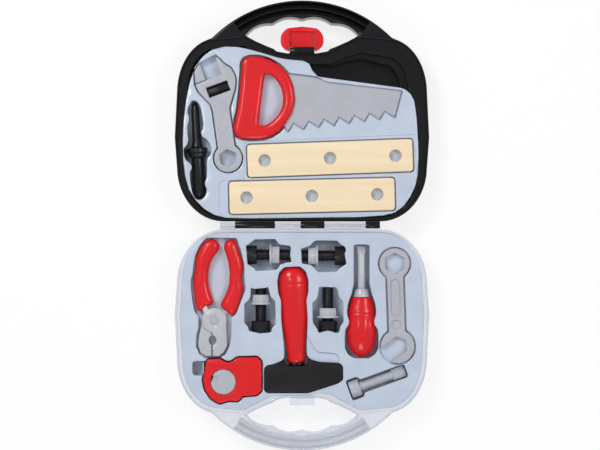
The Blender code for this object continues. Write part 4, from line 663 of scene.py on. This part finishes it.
def plank_wood(name, colour):
    """Pale smooth wood: long faint grain with a little uneven sheen."""
    material = bpy.data.materials.new(name)
    material.use_nodes = True
    nodes, links = material.node_tree.nodes, material.node_tree.links
    shader = nodes["Principled BSDF"]
    shader.inputs["Specular IOR Level"].default_value = 0.3
    place = nodes.new("ShaderNodeTexCoord")
    stretch = nodes.new("ShaderNodeMapping")
    stretch.inputs["Scale"].default_value = (6.0, 120.0, 120.0)
    stretch.inputs["Rotation"].default_value = (0.0, 0.0, math.radians(-1.8))
    links.new(place.outputs["Object"], stretch.inputs["Vector"])
    grain = nodes.new("ShaderNodeTexNoise")
    grain.inputs["Scale"].default_value = 1.0
    grain.inputs["Detail"].default_value = 5.0
    grain.inputs["Distortion"].default_value = 0.4
    links.new(stretch.outputs["Vector"], grain.inputs["Vector"])
    shade = nodes.new("ShaderNodeValToRGB")
    shade.color_ramp.elements[0].position = 0.32
    shade.color_ramp.elements[1].position = 0.68
    shade.color_ramp.elements[0].color = (colour[0] * 0.95, colour[1] * 0.92, colour[2] * 0.87, 1.0)
    shade.color_ramp.elements[1].color = (colour[0], colour[1] * 1.02, min(1.0, colour[2] * 1.06), 1.0)
    links.new(grain.outputs["Fac"], shade.inputs["Fac"])
    links.new(shade.outputs["Color"], shader.inputs["Base Color"])
    sheen = nodes.new("ShaderNodeMapRange")
    sheen.inputs["To Min"].default_value = 0.42
    sheen.inputs["To Max"].default_value = 0.6
    links.new(grain.outputs["Fac"], sheen.inputs["Value"])
    links.new(sheen.outputs["Result"], shader.inputs["Roughness"])
    relief = nodes.new("ShaderNodeBump")
    relief.inputs["Strength"].default_value = 0.08
    relief.inputs["Distance"].default_value = 0.0003
    links.new(grain.outputs["Fac"], relief.inputs["Height"])
    links.new(relief.outputs["Normal"], shader.inputs["Normal"])
    return material


FINISHES = {}


def finish(name):
    """One of the case's finishes, made once."""
    look = bpy.context.scene.toy_case_look
    if not FINISHES:
        FINISHES.update({
            "black": moulded("glossy black", look.black, 0.16, specular=0.14, tone=0.2, grain=0.02),
            "clear": clear_plastic("clear plastic", look.clear),
            "tray": moulded("formed tray", look.tray, 0.14, specular=0.45, tone=0.05, grain=0.02),
            # the pockets' sheet with painted shade: near black when deep and on its walls
            "pocket": painted_shade_pocket("pocket painted shade", look.tray, (0.05, 0.052, 0.06), (0.012, 0.015, 0.022)),
            "red": moulded("glossy red", look.red, 0.2, specular=0.3, tone=0.05, grain=0.03),
            "silver": moulded("silver plastic", look.silver, 0.34, specular=0.3, tone=0.05, grain=0.08),
            "bright": moulded("bright plastic", (0.43, 0.43, 0.46), 0.25, specular=0.5, tone=0.05),
            "dark": moulded("dark plastic", look.black, 0.24, specular=0.2, tone=0.2, grain=0.06),
            "wood": plank_wood("pale wood", look.wood),
            "ribbon": moulded("ribbon", (0.55, 0.5, 0.4), 0.5),
            "wire": moulded("wire", (0.5, 0.5, 0.52), 0.3, metallic=0.9),
        })
    return FINISHES[name]


# Settings

class ToyCaseLook(bpy.types.PropertyGroup):
    """Colours and edge sizes that a user would change."""

    black: bpy.props.FloatVectorProperty(
        name="Black plastic", description="Colour of the back shell and the dark tools", subtype="COLOR",
        default=(0.006, 0.006, 0.0075), min=0.0, max=1.0)
    clear: bpy.props.FloatVectorProperty(
        name="Clear plastic", description="Tint of the front shell", subtype="COLOR",
        default=(0.66, 0.71, 0.84), min=0.0, max=1.0)
    tray: bpy.props.FloatVectorProperty(
        name="Tray", description="Colour of the formed trays", subtype="COLOR",
        default=(0.46, 0.52, 0.62), min=0.0, max=1.0)
    red: bpy.props.FloatVectorProperty(
        name="Red plastic", description="Colour of the latch, grips and tape case", subtype="COLOR",
        default=(0.63, 0.006, 0.01), min=0.0, max=1.0)
    silver: bpy.props.FloatVectorProperty(
        name="Silver plastic", description="Colour of the silver tools", subtype="COLOR",
        default=(0.39, 0.4, 0.44), min=0.0, max=1.0)
    wood: bpy.props.FloatVectorProperty(
        name="Wood", description="Colour of the planks", subtype="COLOR",
        default=(0.81, 0.66, 0.45), min=0.0, max=1.0)
    shell_edge: bpy.props.FloatProperty(
        name="Shell edge", description="Rounding of the shells' edges", unit="LENGTH",
        default=0.0026, min=0.0001)
    tray_edge: bpy.props.FloatProperty(
        name="Tray edge", description="Rounding of the trays' drawn edges", unit="LENGTH",
        default=0.0012, min=0.0001)
    tool_edge: bpy.props.FloatProperty(
        name="Tool edge", description="Rounding of the flat tools' edges", unit="LENGTH",
        default=0.0008, min=0.0001)


# Operators

class ToyCaseShells(bpy.types.Operator):
    """Dress both shells and the hinge rod"""

    bl_idname = "toy_case.shells"
    bl_label = "Shells"

    def execute(self, context):
        edge, step = context.scene.toy_case_look.shell_edge, 1.6 * MM
        for node, name, look_name, slot, side in (
                ("back_shell", "black_shell", "black", "black_plastic", 1),
                ("front_shell", "clear_shell", "clear", "clear_plastic", -1)):
            outer, inner, gap, *channels = flat_outlines(node, RIM)[:5]
            outline = grown(flowing(outer, MM, step), 0.8 * MM)
            shell = gridded(domed(name, outline, 0.6 * MM, RIM, edge, 5), 30 * MM)
            ledge = max(flat_outlines(node, LEDGE)[1:], key=lambda loop: abs(enclosed(loop)))
            floor = flat_outlines(node, SHELL_FLOOR)[0]
            cutters = [
                flared(flowing(inner, MM, step), LEDGE, RIM, 1.3 * MM),
                flared(flowing(ledge, MM, step), 22 * MM, LEDGE, 0.7 * MM, LEDGE + 0.1 * MM),
                slab("cutter", flowing(floor, MM, step), SHELL_FLOOR, 23 * MM),
                flared(flowing(gap, MM, step), -5 * MM, RIM, edge)]
            for channel in channels:
                cutters.append(flared(flowing(channel, 0.8 * MM, step), 4 * MM, RIM, 0.5 * MM))
            cut_away(shell, cutters)
            knuckles = copied(node, "knuckles")
            bpy.ops.object.mode_set(mode="EDIT")
            bpy.ops.mesh.select_all(action="SELECT")
            bpy.ops.mesh.bisect(
                plane_co=(0.0, side * KNUCKLE_REACH, 0.0), plane_no=(0.0, side, 0.0), use_fill=True,
                clear_outer=True)
            bpy.ops.object.mode_set(mode="OBJECT")
            seat = copied(node, "seat")
            box = placed(block(*SEAT_BOX), (0.0, 0.0), 0.0 if side > 0 else 180.0)
            apply_modifier(seat, "BOOLEAN", operation="INTERSECT", object=box, solver="EXACT")
            bpy.data.objects.remove(box)
            bpy.ops.object.select_all(action="DESELECT")
            shell = joined(name, shell, softened(joined("knuckles", knuckles, seat), 0.4 * MM))
            stands_for(smoothed(shell), finish(look_name), slot, node)
        dressed("hinge_rod", "hinge_wire", "wire", "steel", 0.3 * MM)
        return {"FINISHED"}


class ToyCaseTrays(bpy.types.Operator):
    """Press both trays from a sheet: pockets and lower terraces"""

    bl_idname = "toy_case.trays"
    bl_label = "Trays"

    def execute(self, context):
        pockets = [
            (grown(flowing(spots(PUNCH_POCKET), 0.8 * MM), 0.2 * MM), 0.01),
            (flowing(spots(JAW_POCKET), 0.8 * MM), 0.0225)]
        pockets += self.followed("back_tray", BACK_FLOORS, 0.7 * MM)
        terraces = [(flowing(spots(BACK_TERRACE), 1.5 * MM), TRAY_TOP - 1.2 * MM)]
        back = self.pressed("back_formed_tray", flowing(spots(BACK_TRAY), 1.5 * MM), pockets, terraces)
        stands_for(back, finish("tray"), "tray_sheet", "back_tray")
        # second finish: the pockets' sheet with painted shade
        back.data.materials.append(finish("pocket"))
        pockets = [(flowing(spots(HAMMER_POCKET), 1.4 * MM), 0.0115)]
        pockets += self.followed("front_tray", FRONT_FLOORS, 0.9 * MM)
        pockets += [(flowing(spots(pocket), 0.7 * MM), 0.008) for pocket in BOLT_POCKETS]
        terraces = [(flowing(spots(FRONT_TERRACE), MM), TRAY_TOP - 3 * MM)]
        outline = grown(flowing(flat_outlines("front_shell", LEDGE)[1], 1.5 * MM), 1.7 * MM)
        front = self.pressed("front_formed_tray", outline, pockets, terraces)
        stands_for(front, finish("tray"), "tray_sheet", "front_tray")
        # second finish: the pockets' sheet with painted shade
        front.data.materials.append(finish("pocket"))
        return {"FINISHED"}

    def followed(self, node, floors, spread):
        """The pockets of a tray's solid at these heights, a little wider and with eased corners."""
        return [
            (grown(flowing(loop, spread), 0.8 * MM), floor)
            for floor in floors for loop in flat_outlines(node, floor)]

    def pressed(self, name, outline, pockets, terraces):
        """A thin sheet with pockets and terraces, a skirt round it and rounded lips."""
        edge = bpy.context.scene.toy_case_look.tray_edge
        rings = [(outline, SKIRT_FOOT), (outline, TRAY_TOP - 9 * MM)]
        for i in range(5):
            turn = math.radians(22.5 * i)
            height = TRAY_TOP - edge + edge * math.sin(turn)
            rings.append((grown(outline, edge * (math.cos(turn) - 1)), height))
        tray = gridded(lofted(name, rings), 13 * MM)
        for loop, floor in terraces + pockets:
            whole = tray.data.copy()
            cut_away(tray, [flared(loop, floor, TRAY_TOP, min(edge, (TRAY_TOP - floor) * 0.9))])
            if len(tray.data.polygons) < len(whole.polygons) / 2:
                # a lip that folds into itself at a tight corner is left out
                tray.data = whole
                cut_away(tray, [slab("cutter", loop, floor, CUTTER_TOP)])
        select_only(tray)
        bpy.ops.object.mode_set(mode="EDIT")
        bpy.ops.mesh.select_mode(type="FACE")
        bpy.ops.mesh.select_all(action="DESELECT")
        bpy.ops.object.mode_set(mode="OBJECT")
        # skirt faces are picked to go; faces low in the pockets take the second finish, which paints shade
        # into them
        for face in tray.data.polygons:
            face.select = any(tray.data.vertices[i].co.z < SKIRT_FOOT + 0.1 * MM for i in face.vertices)
            high = face.center.z > TRAY_TOP - (4 if face.normal.z > 0.97 else 0.4) * MM
            face.material_index = 0 if high else 1
        bpy.ops.object.mode_set(mode="EDIT")
        bpy.ops.mesh.delete(type="FACE")
        bpy.ops.mesh.select_mode(type="VERT")
        bpy.ops.object.mode_set(mode="OBJECT")
        smoothed(tray)
        apply_modifier(tray, "SOLIDIFY", thickness=SHEET, offset=-1.0, use_even_offset=False)
        return tray


class ToyCaseLatch(bpy.types.Operator):
    """Dress the latch and its pin"""

    bl_idname = "toy_case.latch"
    bl_label = "Latch"

    def execute(self, context):
        dressed("latch", "red_latch", "red", "red_plastic", 1.2 * MM, 4, 50)
        dressed("latch_pin", "latch_wire", "wire", "steel", 0.2 * MM)
        return {"FINISHED"}


class ToyCaseWrench(bpy.types.Operator):
    """Dress the adjustable wrench"""

    bl_idname = "toy_case.wrench"
    bl_label = "Wrench"

    def execute(self, context):
        look = context.scene.toy_case_look
        body = copied("wrench_body", "wrench_frame")
        for point in WRENCH_DIMPLES:
            cut_away(body, [ball((*spot(*point), TOOL_TOP + 0.9 * MM), 1.5 * MM)])
        stands_for(softened(body, look.tool_edge), finish("silver"), "silver_plastic", "wrench_body")
        dressed("wrench_jaw", "wrench_sliding_jaw", "silver", "silver_plastic", 0.5 * MM)
        dressed("wrench_worm", "wrench_roller", "dark", "dark_plastic", 0.25 * MM, 2, 20)
        dressed("wrench_worm_axle", "wrench_axle", "wire", "steel", 0.2 * MM)
        return {"FINISHED"}


class ToyCaseSaw(bpy.types.Operator):
    """Dress the hand saw"""

    bl_idname = "toy_case.saw"
    bl_label = "Saw"

    def execute(self, context):
        low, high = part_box("saw_handle")
        loops = [flowing(loop, 1.5 * MM) for loop in flat_outlines("saw_handle")]
        handle = pillowed("saw_grip", loops, low[2], high[2], 4.6 * MM)
        stands_for(handle, finish("red"), "red_plastic", "saw_handle")
        blade = redrawn("saw_blade", "saw_toothed_blade", 0.35 * MM, 0.3 * MM)
        stands_for(blade, finish("silver"), "silver_plastic", "saw_blade")
        return {"FINISHED"}


class ToyCasePlanks(bpy.types.Operator):
    """Dress the two planks"""

    bl_idname = "toy_case.planks"
    bl_label = "Planks"

    def execute(self, context):
        for node in ("plank_upper", "plank_lower"):
            plank = redrawn(node, node + "_board", 1.2 * MM, 0.9 * MM, 15 * MM)
            stands_for(plank, finish("wood"), "plank_wood", node)
        return {"FINISHED"}


class ToyCasePunch(bpy.types.Operator):
    """Dress the two-ended punch"""

    bl_idname = "toy_case.punch"
    bl_label = "Punch"

    def execute(self, context):
        length, radius = 0.1098, 0.0118
        profile = [(x * length, r * radius) for x, r in PUNCH_PROFILE]
        punch = lathe("punch_body", profile, 32)
        apply_modifier(
            punch, "BEVEL", width=0.5 * MM, segments=2, limit_method="ANGLE", angle_limit=math.radians(25))
        fluted(punch, start=0.008, end=0.045, count=10, depth=0.05)
        placed(punch, (-0.116064, 0.029892), turn=93, height=TOOL_TOP - radius)
        stands_for(punch, finish("dark"), "dark_plastic", "punch")
        return {"FINISHED"}


class ToyCaseBolts(bpy.types.Operator):
    """Model the four slotted bolts and their nuts"""

    bl_idname = "toy_case.bolts"
    bl_label = "Bolts and nuts"

    def execute(self, context):
        step = THREAD_PITCH / 6
        rings = [(THREAD_START + step * i, THREAD_RADIUS) for i in range(85)]
        tip = rings[-1][0]
        for number, (place, turn) in enumerate(BOLTS, 1):
            shaft = lathe("thread", [(THREAD_START, 0.0)] + rings + [(tip, 0.0)], 32)
            threaded(shaft, THREAD_START + 0.4 * MM, tip - 0.3 * MM, THREAD_PITCH, THREAD_DEPTH)
            placed(shaft, place, turn, BOLT_AXIS)
            head = copied(f"bolt_{number}", "head")
            along = Vector((math.cos(math.radians(turn)), math.sin(math.radians(turn)), 0.0))
            select_only(head)
            bpy.ops.object.mode_set(mode="EDIT")
            bpy.ops.mesh.select_all(action="SELECT")
            bpy.ops.mesh.bisect(
                plane_co=Vector((*place, BOLT_AXIS)) + along * BOLT_NECK, plane_no=along, use_fill=True,
                clear_outer=True)
            bpy.ops.object.mode_set(mode="OBJECT")
            softened(head, 0.5 * MM)
            bolt = joined(f"bolt_{number}_threaded", shaft, head)
            stands_for(bolt, finish("dark"), "dark_plastic", f"bolt_{number}")
            dressed(f"nut_{number}", f"nut_{number}_flanged", "bright", "silver_plastic", 0.35 * MM)
        return {"FINISHED"}


class ToyCasePliers(bpy.types.Operator):
    """Dress the pliers"""

    bl_idname = "toy_case.pliers"
    bl_label = "Pliers"

    def execute(self, context):
        for node in ("pliers_front_half", "pliers_back_half"):
            dressed(node, node + "_steel", "bright", "silver_plastic", 0.7 * MM, 2, 50)
        for node, points in (("pliers_left_grip", LEFT_GRIP), ("pliers_right_grip", RIGHT_GRIP)):
            low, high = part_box(node)
            outline = flowing(spots(points), 1.2 * MM)
            grip = pillowed(node + "_cover", [outline], low[2], high[2], 6.2 * MM)
            stands_for(grip, finish("red"), "red_plastic", node)
        dressed("pliers_pivot", "pliers_rivet", "silver", "silver_plastic", 0.35 * MM, 3)
        return {"FINISHED"}


class ToyCaseHammer(bpy.types.Operator):
    """Dress the hammer"""

    bl_idname = "toy_case.hammer"
    bl_label = "Hammer"

    def execute(self, context):
        dressed("hammer_head", "hammer_black_head", "dark", "dark_plastic", 1.6 * MM, 4, 40)
        profile = smooth_profile(HAMMER_GRIP, length=0.1096, radius=0.01675, step=0.0012)
        for ring in (0.0285, 0.0885):
            profile = grooved(profile, at=ring, width=0.0006, depth=0.0005)
        handle = lathe("hammer_grip", profile, 48)
        fluted(handle, start=0.026, end=0.09, count=2, depth=0.02)
        tang, flatness = 4 * MM, 0.6627
        flat = Matrix.Diagonal((1.0, 1.0, flatness, 1.0))
        handle.data.transform(Matrix.Translation((tang, 0.0, 0.0)) @ flat)
        placed(handle, (-0.006156, -0.158838), turn=92.5, height=0.023)
        stands_for(handle, finish("red"), "red_plastic", "hammer_handle")
        dressed("hammer_ferrule", "hammer_collar", "black", "black_plastic", 0.3 * MM)
        return {"FINISHED"}


class ToyCaseScrewdriver(bpy.types.Operator):
    """Dress the screwdriver"""

    bl_idname = "toy_case.screwdriver"
    bl_label = "Screwdriver"

    def execute(self, context):
        profile = smooth_profile(DRIVER_GRIP, length=0.0683, radius=0.0173, step=0.001)
        grip = lathe("screwdriver_handle", grooved(profile, at=0.0185, width=0.0006, depth=0.0006), 60)
        fluted(grip, start=0.024, end=0.05, count=6, depth=0.05)
        flatness = 0.711
        grip.data.transform(Matrix.Diagonal((1.0, 1.0, flatness, 1.0)))
        placed(grip, (0.067478, -0.081302), turn=-90, height=0.0217)
        stands_for(grip, finish("red"), "red_plastic", "screwdriver_grip")
        dressed("screwdriver_ferrule", "screwdriver_collar", "bright", "silver_plastic", 0.5 * MM, 3)
        dressed("screwdriver_shaft", "screwdriver_blade", "bright", "silver_plastic", 0.3 * MM)
        return {"FINISHED"}


class ToyCaseSpanner(bpy.types.Operator):
    """Dress the ring and open spanner"""

    bl_idname = "toy_case.spanner"
    bl_label = "Spanner"

    def execute(self, context):
        spanner = redrawn("spanner", "spanner_body", 0.7 * MM, 0.9 * MM)
        recesses = (flowing(spots(SPANNER_SLOT), 1.5 * MM), oval(spot(*SPANNER_EYE), 5.2 * MM, 5.2 * MM))
        cut_away(spanner, [flared(recess, TOOL_TOP - 1.6 * MM, TOOL_TOP, 0.5 * MM) for recess in recesses])
        stands_for(smoothed(spanner), finish("silver"), "silver_plastic", "spanner")
        return {"FINISHED"}


class ToyCaseTape(bpy.types.Operator):
    """Dress the tape measure"""

    bl_idname = "toy_case.tape"
    bl_label = "Tape measure"

    def execute(self, context):
        for node, name in (("tape_upper_case", "tape_top_shell"), ("tape_lower_case", "tape_bottom_shell")):
            dressed(node, name, "red", "red_plastic", 1.0 * MM, 3, 60)
        dressed("tape_dial", "tape_round_dial", "silver", "silver_plastic", 0.5 * MM, 3)
        dressed("tape_roll", "tape_wound_ribbon", "ribbon", "tape_ribbon", 0.2 * MM)
        dressed("tape_end", "tape_hook", "ribbon", "tape_ribbon", 0.15 * MM)
        return {"FINISHED"}


class ToyCasePin(bpy.types.Operator):
    """Dress the slotted pin"""

    bl_idname = "toy_case.pin"
    bl_label = "Slotted pin"

    def execute(self, context):
        dressed("slotted_pin", "flat_tipped_pin", "silver", "silver_plastic", 0.7 * MM, 2, 50)
        return {"FINISHED"}


class ToyCaseStage(bpy.types.Operator):
    """Set the camera, the soft lamps and a white floor"""

    bl_idname = "toy_case.stage"
    bl_label = "Stage"

    def execute(self, context):
        scene = context.scene
        scene.view_settings.view_transform = "Standard"
        height, half_view = 2.5, 0.339
        camera = bpy.data.cameras.new("camera")
        camera.angle = 2 * math.atan(half_view / (height - TOOL_TOP))
        rig = bpy.data.objects.new("camera", camera)
        rig.location = (-0.00226, 0.00056, height)
        scene.collection.objects.link(rig)
        scene.camera = rig
        lamps = (
            ("key", (-0.8, 0.9, 1.5), 16.0, 0.5), ("fill", (1.0, 0.3, 1.5), 8.5, 0.5),
            ("low", (0.0, -1.2, 1.4), 6.5, 0.5), ("glint", (-0.5, 0.25, 1.6), 2.5, 0.15))
        for name, place, power, size in lamps:
            lamp = bpy.data.lights.new(name, "AREA")
            lamp.energy = power
            lamp.size = size
            holder = bpy.data.objects.new(name, lamp)
            holder.location = place
            holder.rotation_euler = (-Vector(place)).to_track_quat("-Z", "Y").to_euler()
            scene.collection.objects.link(holder)
        self.light_world(scene)
        bpy.ops.object.select_all(action="DESELECT")
        bpy.ops.mesh.primitive_plane_add(size=6.0)
        floor = context.active_object
        floor.name = "floor"
        floor.data.transform(Matrix.Translation((0.0, 0.0, -0.2 * MM)))
        floor.data.materials.append(self.floor_finish())
        return {"FINISHED"}

    def seen_rays(self, nodes, links):
        """Light Path's camera, glossy and transmission rays as one factor."""
        path = nodes.new("ShaderNodeLightPath")
        total = path.outputs["Is Camera Ray"]
        for name in ("Is Glossy Ray", "Is Transmission Ray"):
            add = nodes.new("ShaderNodeMath")
            add.operation = "MAXIMUM"
            links.new(total, add.inputs[0])
            links.new(path.outputs[name], add.inputs[1])
            total = add.outputs[0]
        return total

    def light_world(self, scene):
        """White where it is seen, softer where it lights the case."""
        world = bpy.data.worlds.new("studio")
        scene.world = world
        world.use_nodes = True
        nodes, links = world.node_tree.nodes, world.node_tree.links
        soft = nodes["Background"]
        soft.inputs["Color"].default_value = (0.94, 0.96, 1.0, 1.0)
        soft.inputs["Strength"].default_value = 0.34
        seen = nodes.new("ShaderNodeBackground")
        seen.inputs["Strength"].default_value = 1.0
        seen.inputs["Color"].default_value = (1.0, 1.0, 1.0, 1.0)
        mix = nodes.new("ShaderNodeMixShader")
        links.new(self.seen_rays(nodes, links), mix.inputs["Fac"])
        links.new(soft.outputs["Background"], mix.inputs[1])
        links.new(seen.outputs["Background"], mix.inputs[2])
        links.new(mix.outputs["Shader"], nodes["World Output"].inputs["Surface"])

    def floor_finish(self):
        """A white floor that keeps a faint shadow."""
        material = bpy.data.materials.new("white floor")
        material.use_nodes = True
        nodes, links = material.node_tree.nodes, material.node_tree.links
        shader = nodes["Principled BSDF"]
        shader.inputs["Base Color"].default_value = (0.9, 0.9, 0.9, 1.0)
        shader.inputs["Roughness"].default_value = 0.8
        glow = nodes.new("ShaderNodeEmission")
        glow.inputs["Strength"].default_value = 1.0
        share = nodes.new("ShaderNodeMath")
        share.operation = "MULTIPLY"
        share.inputs[1].default_value = 0.8
        links.new(self.seen_rays(nodes, links), share.inputs[0])
        mix = nodes.new("ShaderNodeMixShader")
        links.new(share.outputs[0], mix.inputs["Fac"])
        links.new(shader.outputs["BSDF"], mix.inputs[1])
        links.new(glow.outputs["Emission"], mix.inputs[2])
        links.new(mix.outputs["Shader"], nodes["Material Output"].inputs["Surface"])
        return material


STEPS = (
    ToyCaseStage, ToyCaseShells, ToyCaseTrays, ToyCaseLatch, ToyCaseWrench, ToyCaseSaw, ToyCasePlanks,
    ToyCasePunch, ToyCaseBolts, ToyCasePliers, ToyCaseHammer, ToyCaseScrewdriver, ToyCaseSpanner,
    ToyCaseTape, ToyCasePin,
)


class ToyCasePanel(bpy.types.Panel):
    """Sidebar panel with every setting and step"""

    bl_idname = "VIEW3D_PT_toy_case"
    bl_label = "Toy Tool Case"
    bl_space_type = "VIEW_3D"
    bl_region_type = "UI"
    bl_category = "Toy Case"

    def draw(self, context):
        look = context.scene.toy_case_look
        for name in ToyCaseLook.__annotations__:
            self.layout.prop(look, name)
        for step in STEPS:
            self.layout.operator(step.bl_idname)


def register():
    """Make the settings, steps and panel known to Blender."""
    for item in (ToyCaseLook, *STEPS, ToyCasePanel):
        bpy.utils.register_class(item)
    bpy.types.Scene.toy_case_look = bpy.props.PointerProperty(type=ToyCaseLook)


def unregister():
    """Take them out again."""
    del bpy.types.Scene.toy_case_look
    for item in reversed((ToyCaseLook, *STEPS, ToyCasePanel)):
        bpy.utils.unregister_class(item)


def main():
    """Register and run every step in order."""
    register()
    for step in STEPS:
        family, name = step.bl_idname.split(".")
        getattr(getattr(bpy.ops, family), name)()


if __name__ == "__main__":
    main()
